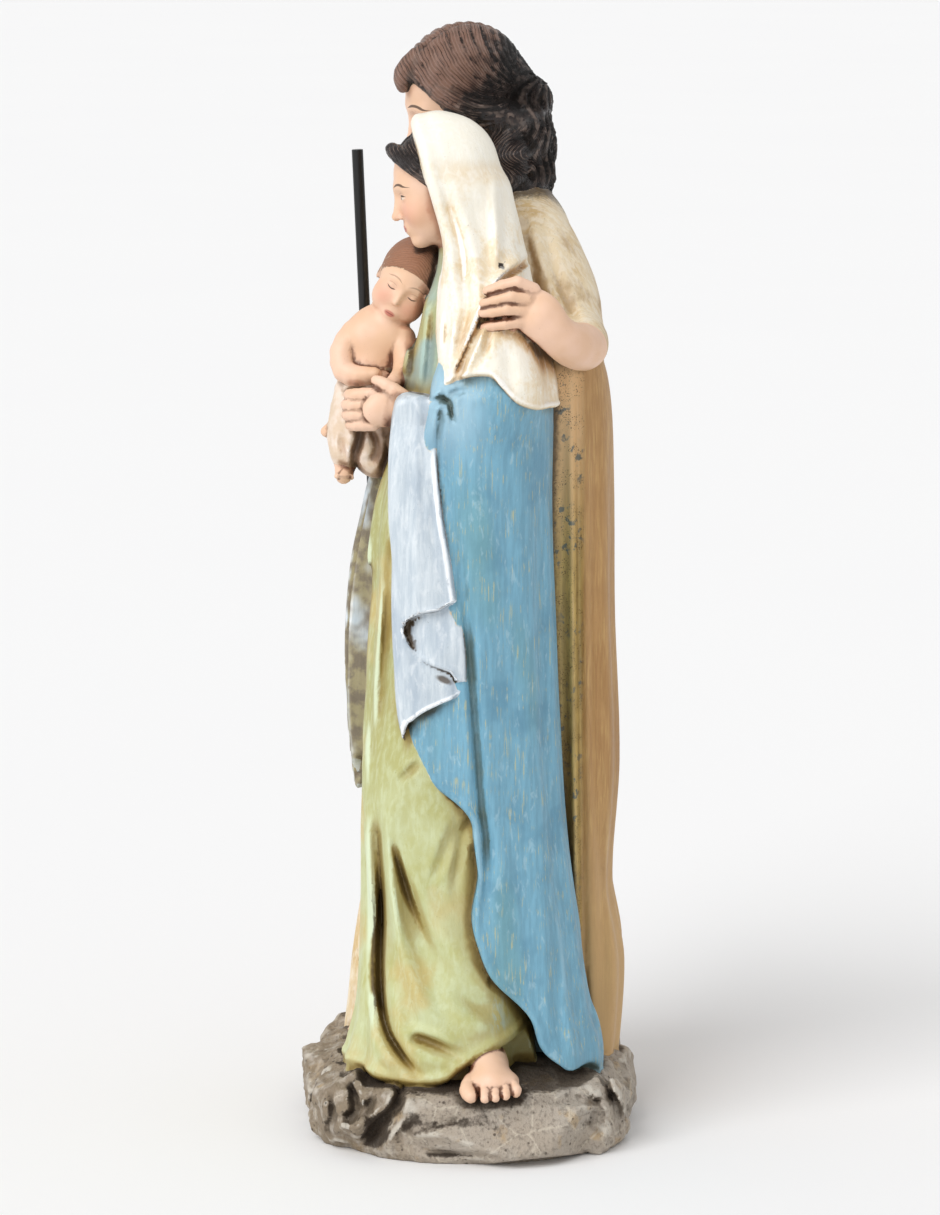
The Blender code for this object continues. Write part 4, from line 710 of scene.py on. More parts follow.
SWADDLE_FOLDS = (
    [(-34, 208.5, 0.7, 0.6), (-30, 209.5, 0.8, 0.9), (-25, 209.6, 0.7, 0.6)],
    [(-35, 205.0, 0.8, 0.8), (-31, 206.5, 0.9, 1.2), (-26, 206.0, 0.8, 0.8)],
    [(-33.5, 201.5, 0.8, 0.9), (-30, 202.6, 0.9, 1.3), (-27, 200.8, 0.8, 0.6)],
    [(-29.5, 199, 0.9, 0.8), (-29.8, 194, 1.1, 1.8), (-31.5, 188, 1.0, 1.6), (-31, 184, 0.8, 0.8)],
    [(-34, 196, 0.8, 0.5), (-34.8, 192, 0.9, 0.9), (-33.6, 187, 0.7, 0.5)],
    [(-27, 196.5, 1.0, 1.2), (-25, 191, 1.1, 1.6), (-27.5, 186.5, 0.9, 1.0)],
    [(-23, 194, 0.9, 1.0), (-22.5, 189, 1.0, 1.2), (-24, 184.5, 0.8, 0.8)],
    [(-32.5, 198.5, 1.6, -0.6), (-33.0, 193, 1.4, -0.5)],
)


def man_robes(p):
    x, y, z = p.T
    tunic, turn = column(p, TUNIC)
    tunic += pleats(turn, z, [
        (17, 190, -4, -2, 9, 2.4), (17, 200, 22, 12, 9, 2.2), (17, 190, -30, -18, 9, 2.4),
        (17, 180, -56, -40, 9, 2.0), (60, 225, 10, 6, 9, 1.5), (60, 225, -16, -10, 9, 1.5),
    ])
    tunic += 0.3 * lattice_noise(p * (1, 1, 0.3), 7.0, 17)
    tunic = smooth_max(tunic, z - 262, 2)
    cloak, turn = column(p, CLOAK)
    cloak += pleats(turn, z, [
        (14, 225, 172, 172, 7, 1.8), (14, 225, -170, -168, 7, 1.8), (14, 220, -148, -146, 7, 2.0),
        (14, 225, -124, -122, 7, 1.8), (14, 220, -100, -98, 7, 2.0), (14, 225, 152, 150, 7, 1.6),
    ])
    cloak += 0.3 * lattice_noise(p * (1, 1, 0.25), 7.0, 19)
    right = curve((14, 60, 120, 180, 225, 250), (-45, -44, -44, -42, -36, -30), z)
    reach = curve((14, 80, 150, 190), (-9, -10, -14, -18), z)
    region = smooth_min(2 - y, smooth_max(x - right, reach - y, 1.5), 3)
    rolled = 0.8 * np.exp(-((region + 1.8) / 1.5) ** 2)
    cloak = smooth_max(cloak - rolled, region, 1.0)
    cloak = smooth_max(cloak, z - 250, 3)
    drape, turn = column(p, DRAPE)
    side = ramp(x, 2, 10)
    for rows in DRAPE_FOLDS:
        drape += side * crease(y, z, rows)
    drape += pleats(turn, z, [(14, 215, 165, 165, 14, 1.6), (14, 215, -165, -165, 14, 1.4)])
    cloak = smooth_min(cloak, smooth_max(drape, z - 221, 2), 3)
    shoulders = strand(
        p,
        [
            (-44, 9, 240, 12.5), (-24, 12.5, 246, 13.5), (-4, 15, 243, 13.5), (2, 21, 231, 13.2),
            (7, 24, 221.5, 11.8),
        ],
        3,
    )
    shoulders = smooth_min(
        shoulders, strand(p, [(6, 26, 223, 9.5), (16, 29.3, 220.4, 7.6), (22.5, 30.2, 219.6, 7.2)], 1), 2,
    )
    for rows in SHOULDER_FOLDS:
        shoulders += ramp(x, -22, -8) * crease(y, z, rows)
    tunic = smooth_min(tunic, shoulders, 5)
    sleeve = strand(
        p,
        [
            (-46, 9, 240, 12.5), (-52, 7, 224, 10.5), (-53.5, 3, 207, 9.8), (-52.5, -5, 197, 9.0),
            (-50.5, -13, 193.0, 7.4),
        ],
        2,
    )
    sleeve += 0.5 * np.sin(0.65 * z + 0.8 * y) * ramp(-y, -12, 8)
    cloak = smooth_min(cloak, sleeve, 3.5)
    return {"tunic": smooth_max(tunic, SOLE - z, 1), "cloak": smooth_max(cloak, SOLE - z, 1)}


DRAPE_FOLDS = (
    [
        (33.5, 12, 1.1, 0.4), (31.4, 60, 1.2, 0.8), (30.2, 120, 1.2, 0.9), (29.2, 205, 1.1, 0.8),
        (29.2, 219, 1.0, 0.4),
    ],
    [(30.0, 12, 0.9, -0.3), (29.4, 60, 0.9, -0.6), (28.4, 120, 0.9, -0.6), (27.6, 210, 0.9, -0.6)],
    [(27, 28, 1.5, 0.5), (25.2, 120, 1.7, 1.1), (24.8, 202, 1.5, 0.8)],
    [(38, 20, 1.6, 0.5), (35, 110, 1.8, 0.8), (34, 205, 1.5, 0.5)],
    [(36.4, 30, 1.0, -0.3), (33.2, 110, 1.0, -0.5), (32.2, 200, 1.0, -0.4)],
)
SHOULDER_FOLDS = (
    [(14.5, 256, 1.2, 0.5), (15.5, 246, 1.6, 1.1), (19.0, 234, 1.7, 1.2), (23, 224, 1.4, 0.8)],
    [(20.0, 252, 1.2, 0.4), (22.5, 240, 1.5, 0.9), (26.5, 230, 1.5, 0.9), (30.5, 222, 1.1, 0.5)],
    [(17.0, 240, 1.0, -0.5), (20.6, 231, 1.0, -0.5)],
)


def staff_at(z):
    t = (z - STAFF_FOOT[2]) / (STAFF_TOP[2] - STAFF_FOOT[2])
    return np.array([a + (b - a) * t for a, b in zip(STAFF_FOOT, STAFF_TOP)])


def man_fist(p):
    """His right hand closed round the staff."""
    centre = staff_at(190.0)
    ring = GRIP + 2.5
    d = strand(p, [(-50.5, -11, 193.5, 4.6), (-50.5, -17, 192.0, 4.0), (-51.2, -22, 191.0, 5.0)], 1.0)
    d = smooth_min(d, ball(p, (-50.8, -25.0, 190.4), (3.4, 5.5, 7.6)), 2.0)
    for height, thick in ((5.6, 2.3), (1.9, 2.4), (-1.9, 2.3), (-5.4, 2.0)):
        rows = []
        for turn in (165, 205, 245, 285, 325, 365, 400):
            a = np.radians(turn)
            rows.append(
                [
                    centre[0] + ring * np.cos(a), centre[1] + ring * np.sin(a),
                    centre[2] + height + 0.4 * np.sin(a), thick,
                ]
            )
        d = smooth_min(d, strand(p, rows, per_span=1), 0.5)
    thumb = [
        (-50.0, -19.5, 196.5, 2.7), (-46.0, -21.8, 199.0, 2.5), (-42.0, -26.5, 198.5, 2.2),
        (-41.5, -30.0, 197.5, 1.9),
    ]
    return smooth_min(d, strand(p, thumb, 0.5), 1.0)


def man_left_hand(p):
    """His left hand laid on her shoulder."""
    tilt = np.array([[1, 0, 0], [0, 0.82, 0.57], [0, -0.57, 0.82]])
    d = ball((p - (42.6, 17.6, 230.2)) @ tilt, (0, 0, 0), (3.4, 7.6, 6.0))
    fingers = (
        [
            (42.8, 16.6, 236.2, 2.1), (45.0, 12.6, 238.4, 1.75), (45.2, 8.6, 237.6, 1.55),
            (44.4, 4.6, 236.1, 1.3),
        ],
        [
            (44.2, 15.0, 234.0, 2.1), (46.0, 11.0, 234.9, 1.7), (45.6, 7.0, 233.8, 1.5),
            (44.8, 3.6, 232.9, 1.25),
        ],
        [
            (44.4, 13.8, 231.2, 2.0), (46.0, 9.8, 231.4, 1.65), (45.6, 6.0, 230.6, 1.45),
            (44.8, 3.4, 230.2, 1.2),
        ],
        [
            (43.8, 13.6, 228.2, 1.9), (45.2, 9.4, 227.4, 1.5), (44.8, 6.2, 226.9, 1.35),
            (44.0, 3.8, 226.5, 1.15),
        ],
    )
    for rows in fingers:
        d = smooth_min(d, strand(p, rows, 0.3, per_span=1), 0.5)
    arm = strand(
        p,
        [
            (42.2, 18.6, 229.0, 5.2), (39.4, 24.0, 223.2, 4.9), (34.0, 27.6, 220.6, 5.6),
            (25, 30.6, 219.2, 6.2),
        ],
        2.0,
    )
    return smooth_min(d, arm, 2.5)


def man_feet(p):
    d = np.full(len(p), 1e3)
    for x, y, turn in ((-36.0, -29.0, -0.18), (-18.0, -28.0, 0.12)):
        d = np.minimum(d, limb(p, (x, y + 8, 23.5), (x + 6 * turn, y, 21.5), 4.8, 3.8))
        for i in range(5):
            off = 2.0 * (i - 2) * (1 if turn < 0 else -1)
            tip = (x + off * 1.15 + 6 * turn, y - 5.2 + 0.11 * i * i, 20.0)
            d = smooth_min(d, limb(p, (x + off, y - 1, 21.5), tip, 1.7, 1.55), 0.4)
    return d


def man_head(p):
    q = on_head(p, MAN_HEAD)
    size = MAN_HEAD["size"]
    skin = smooth_min(head_skin(q), ears(q), 0.02) * size
    skin = smooth_min(skin, limb(p, (-19, 2, 272), (-22, 8, 250), 8.0, 9.5), 3)
    m = mirrored(q)
    hair = hair_cap(q, (0.30, 0.30, 0.5), 0.042, 7.5, 0.0125, knot=(-0.50, -0.05))
    tuft = strand(q, [(0.02, 0.20, 0.44, 0.07), (0.03, 0.33, 0.36, 0.07), (0.05, 0.38, 0.27, 0.045)], 0.04)
    hair = smooth_min(hair, tuft, 0.05)
    lock = strand(
        m,
        [
            (0.28, 0.17, 0.20, 0.06), (0.345, 0.03, 0.03, 0.085), (0.345, -0.12, -0.09, 0.10),
            (0.28, -0.30, -0.20, 0.13),
        ],
        0.05,
    )
    away, up = m[:, 1] + 0.5, m[:, 2] + 0.05
    flow = np.arctan2(up, away) - 0.9 * np.hypot(up, away)
    lock = lock - 0.011 * locks(flow, 9 * q[:, 1], 7.5)
    hair = smooth_min(hair, lock, 0.05) * size
    x, y, z = p.T
    nape = strand(
        p,
        [
            (-19, 10.5, 288, 7.6), (-19.5, 13.6, 280, 8.2), (-20, 14.6, 270, 8.8), (-20.5, 14.8, 262, 8.2),
            (-20.5, 13.6, 257.0, 6.6),
        ],
        2.0,
    )
    nape = smooth_min(nape, ball(p, (-18.5, 17.6, 283.0), (7.4, 5.6, 6.6)), 1.5)
    for side in (-1, 1):
        nape = smooth_min(
            nape,
            strand(
                p,
                [
                    (-19.5 + 7 * side, 9, 277, 6.0), (-20 + 9 * side, 11, 268, 6.0),
                    (-20 + 8.5 * side, 11.5, 259, 5.2),
                ],
                1.0,
            ),
            2.0,
        )
    turn = np.arctan2(x + 20, 20 - y)
    nape += 0.6 * np.sin(z * 0.55 + 2.0 * np.sin(turn * 2.0)) * (1 - ramp(z, 276, 286)) + 0.4
    nape -= 0.5 * locks(turn * 1.1 + 0.16 * np.sin(0.42 * z + 1.5), 0.30 * z, 3.2)
    hair = smooth_min(hair, nape, 2.0)
    for i in range(9):
        a = math.radians(-120 + 26 * i)
        tip = (-20.5 + 11.2 * math.sin(a), 11.5 + 9.4 * math.cos(a) * 1.0, 253.8 + 1.3 * math.sin(3.7 * i))
        start = (-20.5 + 9.8 * math.sin(a), 11.0 + 8.4 * math.cos(a), 260.0)
        hair = smooth_min(hair, limb(p, start, tip, 2.6, 1.1), 1.2)
    chin = strand(
        m,
        [
            (0.28, 0.10, -0.10, 0.06), (0.24, 0.17, -0.26, 0.085), (0.13, 0.25, -0.40, 0.10),
            (0.03, 0.27, -0.52, 0.10),
        ],
        0.04,
    )
    lip = strand(
        m, [(0.02, 0.40, -0.235, 0.022), (0.08, 0.37, -0.255, 0.026), (0.13, 0.32, -0.33, 0.03)], 0.01,
    )
    beard = smooth_min(chin, lip, 0.03) * size
    beard -= 0.3 * np.sin(1.9 * z + 1.1 * np.sin(1.4 * x)) * np.sin(1.6 * x + 0.5 * z)
    return {"skin": skin, "hair": np.minimum(hair, beard)}


def woman_hair(p):
    q = on_head(p, WOMAN_HEAD)
    hair = hair_cap(q, (0.15, 0.12, 0.62), 0.035, 6.5, 0.008)
    m = mirrored(q)
    roll = strand(
        m,
        [
            (0.03, 0.31, 0.43, 0.05), (0.16, 0.27, 0.36, 0.055), (0.27, 0.17, 0.22, 0.05),
            (0.33, 0.05, 0.05, 0.045),
        ],
        0.04,
    )
    roll = roll - 0.010 * np.sin(26 * m[:, 0] + 30 * q[:, 2])
    return smooth_min(hair, roll, 0.04) * WOMAN_HEAD["size"]


TOP = 17.0
FLOOR = 0.0
HEM = (55.0, 41.0)
LEDGE = 6.0

# Boulders of the base as rows of centre, reach, roughness, turn of the flats
FLATS = 16
GOLDEN_TURN = 2.39996
BOULDERS = (
    ((36, 8.5, 7.5), (23.5, 31.0, 10.5), 0.25, 0.3),
    ((26, -30, 8.5), (20.5, 15.5, 11.5), 1.0, 1.1),
    ((-2, -34, 9.5), (23.0, 14.0, 11.5), 0.9, 2.0),
    ((-33, -27, 8.5), (21.5, 17.0, 10.5), 0.6, 3.1),
    ((-45, 2, 8.0), (17.0, 24.0, 10.5), 0.5, 4.4),
    ((-30, 31, 8.0), (23.0, 14.5, 10.5), 0.6, 5.2),
    ((4, 36, 9.0), (22.0, 11.5, 11.0), 0.8, 0.9),
    ((33, 33.5, 8.5), (15.0, 12.5, 11.5), 0.9, 2.6),
)


def rock(p):
    """A low mound with boulders round its rim, chiselled into flats and left rough between."""
    x, y, z = p.T
    wide = HEM[0] + LEDGE
    deep = HEM[1] + LEDGE
    share = (np.abs(x / wide) ** 2.5 + np.abs(y / deep) ** 2.5) ** 0.4 + 1e-6
    far = np.hypot(x, y) + 1e-6
    rim = far - far / share
    dome = TOP - 0.6 + 6.5 * (1 - np.clip(share, 0, 1) ** 2.2)
    d = smooth_max(rim + 6.5, (z - dome) * 0.94, 3.0)
    rough = np.full(len(p), 0.45)
    for centre, reach, coarse, phase in BOULDERS:
        q = (p - np.array(centre)) / np.array(reach)
        block = np.full(len(p), -1e3)
        for k in range(FLATS):
            up = 1 - 2 * (k + 0.5) / FLATS
            turn = GOLDEN_TURN * k + 2.3 * phase
            level = math.sqrt(1 - up * up)
            n = np.array([level * math.cos(turn), level * math.sin(turn), up])
            reach_k = 0.93 + 0.06 * math.sin(4.4 * k + 2.9 * phase)
            stretch = np.linalg.norm(n / np.array(reach))
            block = smooth_max(block, (q @ n - reach_k) / stretch, 0.5)
        rough = np.where(block < d, coarse, rough)
        d = smooth_min(d, block, 0.8)
    d = smooth_max(d, rim, 2.0)
    rough = rough * (1 - 0.6 * ramp(x, 28, 42) * ramp(y, -16, -10) * ramp(y, 36, 30))
    d += rough * (
        0.9 * lattice_noise(p, 5.5, 23) + 0.7 * lattice_noise(p, 2.4, 29) + 1.3 * np.abs(
            lattice_noise(p, 3.9, 31)
        ) - 0.3
    )
    d += 0.16 * lattice_noise(p, 1.8, 37)
    for rows in ROCK_CRACKS:
        d += ramp(x, 25, 40) * crease(y, z, rows)
    under = np.maximum(0.0, 2.5 - z)
    return smooth_max(d + 0.35 * under, FLOOR - z, 0.5)


ROCK_CRACKS = (
    [(-18.0, 20, 1.2, 1.6), (-20.5, 14, 1.6, 2.8), (-24.6, 9.0, 2.0, 3.2), (-28.2, 2, 2.4, 2.8)],
    [(-33.0, 19, 1.1, 1.5), (-31.0, 14, 1.3, 1.8), (-33.5, 8, 1.2, 1.4)],
    [(-25.0, 16.5, 1.0, 1.2), (-30.5, 12.0, 1.1, 1.6), (-36.5, 10.5, 1.0, 1.2)],
    [(-38.5, 16, 1.0, 1.2), (-37.0, 11, 1.2, 1.6), (-39.5, 5, 1.0, 1.0)],
    [(36.0, 22, 1.1, 1.4), (37.7, 16.8, 1.2, 2.0), (40.2, 11.0, 1.2, 1.8), (41.0, 3, 1.1, 1.2)],
    [(31.0, 17.5, 0.9, 0.6), (34.0, 15.5, 1.1, 1.2), (38.0, 15.0, 1.0, 1.0), (42, 17, 0.9, 0.6)],
    [(-15.0, 4.0, 0.9, 0.5), (-8.0, 3.2, 1.0, 0.9), (2.0, 3.6, 0.9, 0.7), (10, 2.6, 0.9, 0.4)],
)


FILLET = 0.8
LAYERS = (
    "rock", "skin", "hair", "child_hair", "veil", "mantle", "lining", "dress", "swaddle", "cloak", "tunic",
)


def layers(p):
    """Distance from each point to each painted layer."""
    x, y, z = p.T
    out = {name: np.full(len(p), 40.0) for name in LAYERS}
    jobs = (
        (z < 32, lambda q: {"rock": rock(q)}),
        ((z < 260) & (x > -24), woman_robes),
        ((z > 196) & (x > -14), lambda q: {"veil": veil_cloth(q)}),
        (near(p, (28, -22, 203), 26), lambda q: {"skin": woman_hand(q)}),
        (near(p, (6, -30, 188), 24), lambda q: {"skin": woman_right_hand(q)}),
        (near(p, (48, 6, 25), 22), lambda q: {"skin": woman_foot(q)}),
        (near(p, (17.5, -6, 258), 30), lambda q: {"skin": woman_skin(q), "hair": woman_hair(q)}),
        (near(p, (10, -27, 212), 48), child_body),
        ((x < 44) & (z < 272), man_robes),
        (near(p, (-47, -24, 192), 26), lambda q: {"skin": man_fist(q)}),
        (near(p, (38, 22, 222), 36), lambda q: {"skin": man_left_hand(q)}),
        ((z < 40) & (y < -12) & (x < 0), lambda q: {"skin": man_feet(q)}),
        (near(p, (-19, 3, 278), 42), man_head),
    )
    for mask, shape in jobs:
        if mask.any():
            for name, d in shape(p[mask]).items():
                out[name][mask] = np.minimum(out[name][mask], d)
    return out


def clay(p):
    """Distance from each point to the whole casting, its layers run together as in one mould."""
    found = layers(p)
    d = found["rock"]
    for name in LAYERS[1:]:
        d = smooth_min(d, found[name], FILLET)
    return d


def refined_field(f, low, high, step, levels=2):
    """The field on a grid of this step, worked out only near the surface, coarse to fine."""
    low = np.asarray(low, float)
    big = step * 2 ** levels
    n = np.ceil((np.asarray(high, float) - low) / big).astype(int) + 1
    at = np.stack(np.meshgrid(*[np.arange(k) for k in n], indexing="ij"), -1).reshape(-1, 3)
    field = f(low + big * at).reshape(n)
    size = big
    for _ in range(levels):
        size /= 2
        finer = field
        for axis in range(3):
            finer = np.moveaxis(finer, axis, 0)
            wide = np.empty((2 * len(finer) - 1, *finer.shape[1:]))
            wide[::2] = finer
            wide[1::2] = (finer[1:] + finer[:-1]) / 2
            finer = np.moveaxis(wide, 0, axis)
        close = np.argwhere(np.abs(finer) < size * 2.2)
        finer[tuple(close.T)] = f(low + size * close)
        field = finer
    return field


def torn_cells():
    """Which of the 256 ways to fill a cell's corners leave its inside or outside in two pieces."""
    torn = np.zeros(256, bool)
    for code in range(256):
        for wanted in (0, 1):
            group = [c for c in range(8) if (code >> c & 1) == wanted]
            seen = set(group[:1])
            grow = list(seen)
            while grow:
                c = grow.pop()
                for e in group:
                    if e not in seen and abs(CORNERS[c] - CORNERS[e]).sum() == 1:
                        seen.add(e)
                        grow.append(e)
            torn[code] |= len(seen) < len(group)
    return torn


def mended(field, step):
    """Fills the few cells whose surface would touch itself."""
    torn = torn_cells()
    shape = field.shape
    for _ in range(12):
        inside = field < 0
        code = np.zeros([s - 1 for s in shape], np.uint8)
        for bit, (i, j, k) in enumerate(CORNERS):
            code |= inside[
                i:i + shape[0] - 1, j:j + shape[1] - 1, k:k + shape[2] - 1,
            ].astype(np.uint8) << bit
        cells = np.argwhere(torn[code])
        if not len(cells):
            break
        for corner in CORNERS:
            at = tuple((cells + corner).T)
            field[at] = np.minimum(field[at], -0.05 * step)
    return field


def surface_net(field, low, step):
    """A closed mesh of four-sided faces round the field's inside."""
    inside = field < 0
    shape = field.shape
    count = np.zeros([s - 1 for s in shape], np.int8)
    for i, j, k in CORNERS:
        count += inside[i:i + shape[0] - 1, j:j + shape[1] - 1, k:k + shape[2] - 1]
    mixed = (count > 0) & (count < 8)
    cells = np.argwhere(mixed)
    index = np.full(mixed.shape, -1, np.int64)
    index[mixed] = np.arange(len(cells))
    value = {tuple(c): field[tuple((cells + c).T)] for c in CORNERS}
    total = np.zeros((len(cells), 3))
    hits = np.zeros(len(cells))
    for a in value:
        for axis in range(3):
            if a[axis]:
                continue
            b = tuple(1 if k == axis else a[k] for k in range(3))
            crossed = (value[a] < 0) != (value[b] < 0)
            share = np.where(crossed, value[a] / np.where(crossed, value[a] - value[b], 1.0), 0.0)
            point = np.tile(np.array(a, float), (len(cells), 1))
            point[:, axis] = share
            total += point * crossed[:, None]
            hits += crossed
    points = np.asarray(low, float) + step * (cells + total / hits[:, None])
    faces = []
    for axis in range(3):
        u, v = (axis + 1) % 3, (axis + 2) % 3
        first = [slice(None)] * 3
        second = [slice(None)] * 3
        first[axis] = slice(0, -1)
        second[axis] = slice(1, None)
        edges = np.argwhere(inside[tuple(first)] != inside[tuple(second)])
        du = np.eye(3, dtype=int)[u]
        dv = np.eye(3, dtype=int)[v]
        quad = np.stack([index[tuple((edges - s).T)] for s in (du + dv, dv, 0 * du, du)], 1)
        turned = ~inside[tuple(edges.T)]
        quad[turned] = quad[turned][:, ::-1]
        faces.append(quad)
    return points, np.concatenate(faces)


def largest_body(points, faces):
    """The biggest connected piece of a mesh."""
    label = np.arange(len(points))
    ends = np.stack([faces, np.roll(faces, -1, axis=1)], -1).reshape(-1, 2)
    while True:
        low = np.minimum(label[ends[:, 0]], label[ends[:, 1]])
        new = label.copy()
        np.minimum.at(new, ends[:, 0], low)
        np.minimum.at(new, ends[:, 1], low)
        new = new[new]
        new = new[new]
        if (new == label).all():
            break
        label = new
    names, counts = np.unique(label, return_counts=True)
    keep = label == names[np.argmax(counts)]
    renumber = np.cumsum(keep) - 1
    return points[keep], renumber[faces[keep[faces[:, 0]]]]


def spread(shape, p, width=40000):
    """Works a shape out at many points, a share at a time on each core."""
    shares = [p[i:i + width] for i in range(0, len(p), width)]
    with ThreadPoolExecutor(4) as pool:
        return np.concatenate(list(pool.map(shape, shares)))


TETRAHEDRON = np.array([[1, -1, -1], [-1, -1, 1], [-1, 1, -1], [1, 1, 1]], float)


def outward(p, reach=0.4):
    """The way out of the clay at each point, and how fast its field rises that way."""
    g = sum(way * spread(clay, p + reach * way)[:, None] for way in TETRAHEDRON) / (4 * reach)
    steep = np.linalg.norm(g, axis=1)
    return g / (steep[:, None] + 1e-9), steep


def settled(p, limit):
    """Points moved onto the clay's surface, the way out there, and how far that way can be relied on."""
    n, steep = outward(p)
    move = np.clip(spread(clay, p) / np.maximum(steep, 0.6), -limit, limit) * ramp(steep, 0.3, 0.6)
    return p - move[:, None] * n, n, ramp(steep, 0.65, 0.95)


def carver_to_world():
    """Where the carver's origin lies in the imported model, read from where its staff stands."""
    low, high = (np.array(corner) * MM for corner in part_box("staff"))
    return (low + high)[:2] / 2 - staff_at((low[2] + high[2]) / 2)[:2]


# The space that the casting is carved in, and how far above the floor its underside is made flat
CAST_LOW = (-66.0, -52.0, -4.0)
CAST_HIGH = (66.0, 52.0, 310.0)
FLAT_BELOW = 0.12

# Where small forms lose few of their triangles, as centre and reach
FINE_PLACES = (
    ((17.5, -14, 262), 17), ((-17, -6, 284), 26), ((9, -18, 234), 17), ((43, 9, 232), 15),
    ((27, -24, 204), 13), ((20, -25, 210), 10), ((52, 6, 21), 11), ((-50, -27, 191), 12),
    ((40, -10, 136), 16), ((41, -6, 206), 9), ((-27, -36, 20), 12), ((-20, 14, 262), 14),
)


def bends(field, points, low, step):
    """How sharply the surface bends at each point, as one over the radius in millimetres."""
    cell = np.floor((points - low) / step).astype(int)
    total = -6.0 * field[tuple(cell.T)]
    for way in np.vstack([np.eye(3, dtype=int), -np.eye(3, dtype=int)]):
        total += field[tuple((cell + way).T)]
    return np.abs(total) / step ** 2


def thin_out(body, share_kept, bend, points):
    """Drops triangles where the cast is flat, and few of them where small forms are."""
    thin = 1.0 - 0.8 * ramp(bend, 0.12, 0.8)
    for centre, reach in FINE_PLACES:
        far = np.sqrt(((points - centre) ** 2).sum(1))
        thin = np.minimum(thin, 0.25 + 0.75 * ramp(far, reach, reach + 6))
    group = body.vertex_groups.new(name="thin_here")
    for level in range(1, 21):
        share = level / 20
        chosen = np.flatnonzero(np.abs(thin - share) <= 0.0251)
        if len(chosen):
            group.add(chosen.tolist(), share, "REPLACE")
    thinner = body.modifiers.new("thinner", "DECIMATE")
    thinner.ratio = share_kept
    thinner.use_collapse_triangulate = True
    thinner.vertex_group = group.name
    thinner.vertex_group_factor = 0.02
    graph = bpy.context.evaluated_depsgraph_get()
    thinned = bpy.data.meshes.new_from_object(body.evaluated_get(graph))
    body.modifiers.clear()
    body.vertex_groups.clear()
    dense = body.data
    body.data = thinned
    bpy.data.meshes.remove(dense)
    thinned.name = body.name


def cast_mesh(name, step, kept, mid):
    """The casting as one closed mesh, with its points and the ways out of them in the carver's frame."""
    low = np.array(CAST_LOW)
    field = mended(refined_field(lambda p: spread(clay, p), low, CAST_HIGH, step), step)
    points, faces = largest_body(*surface_net(field, low, step))
    mesh = bpy.data.meshes.new(name)
    mesh.vertices.add(len(points))
    mesh.vertices.foreach_set("co", points.astype(np.float32).ravel())
    mesh.loops.add(4 * len(faces))
    mesh.loops.foreach_set("vertex_index", faces.astype(np.int32).ravel())
    mesh.polygons.add(len(faces))
    mesh.polygons.foreach_set("loop_start", np.arange(0, 4 * len(faces), 4, dtype=np.int32))
    mesh.update(calc_edges=True)
    body = bpy.data.objects.new(name, mesh)
    bpy.context.scene.collection.objects.link(body)
    if 2 * len(faces) > kept:
        thin_out(body, kept / (2 * len(faces)), bends(field, points, low, step), points)
        mesh = body.data
    count = len(mesh.vertices)
    points = np.empty(3 * count, np.float32)
    mesh.vertices.foreach_get("co", points)
    points = points.reshape(-1, 3).astype(float)
    for _ in range(2):
        points, normals, sure = settled(points, 0.6)
    points[points[:, 2] < FLAT_BELOW, 2] = 0.0
    world = points.copy()
    world[:, :2] += mid
    mesh.vertices.foreach_set("co", (world / MM).astype(np.float32).ravel())
    mesh.update()
    mesh.polygons.foreach_set("use_smooth", np.ones(len(mesh.polygons), bool))
    blunt = np.empty(3 * count, np.float32)
    mesh.vertex_normals.foreach_get("vector", blunt)
    normals = sure[:, None] * normals + (1 - sure[:, None]) * blunt.reshape(-1, 3)
    normals /= np.linalg.norm(normals, axis=1)[:, None] + 1e-9
    return body, points, normals


def keep(mesh, name, values):
    """Stores one value, or one vector, for every point of the mesh."""
    kind = "FLOAT_VECTOR" if values.ndim == 2 else "FLOAT"
    made = mesh.attributes.new(name, kind, "POINT")
    made.data.foreach_set("vector" if values.ndim == 2 else "value", values.astype(np.float32).ravel())


def combing(p):
    """A number that rises across the strands of hair, and one that rises along them."""
    across = np.zeros(len(p))
    along = np.zeros(len(p))
    for head, count in ((WOMAN_HEAD, 6.5), (CHILD_HEAD, 8.0), (MAN_HEAD, 7.5)):
        q = on_head(p, head)
        here = (q * q).sum(1) < 0.85
        m = np.abs(q[:, 0])
        away = q[:, 1] + 0.46
        up = q[:, 2] + 0.05
        run = np.hypot(up, away)
        across[here] = ((np.arctan2(up, away) - 0.9 * run + 0.35 * m) * count)[here]
        along[here] = (9 * run)[here]
    x, y, z = p.T
    low = (x < 2) & (y > 2) & (z < 279)
    turn = np.arctan2(x + 20, 20 - y)
    across[low] = ((turn * 1.1 + 0.16 * np.sin(0.42 * z + 1.5)) * 5.0)[low]
    along[low] = (0.3 * z)[low]
    return across, along


def filled_in(mesh, values):
    """Values with each narrow low line between high ones filled, as a wash fills a groove's floor."""
    ends = np.empty(2 * len(mesh.edges), np.int32)
    mesh.edges.foreach_get("vertices", ends)
    a, b = ends.reshape(-1, 2).T
    most = values.copy()
    np.maximum.at(most, a, values[b])
    np.maximum.at(most, b, values[a])
    least = most.copy()
    np.minimum.at(least, a, most[b])
    np.minimum.at(least, b, most[a])
    return least


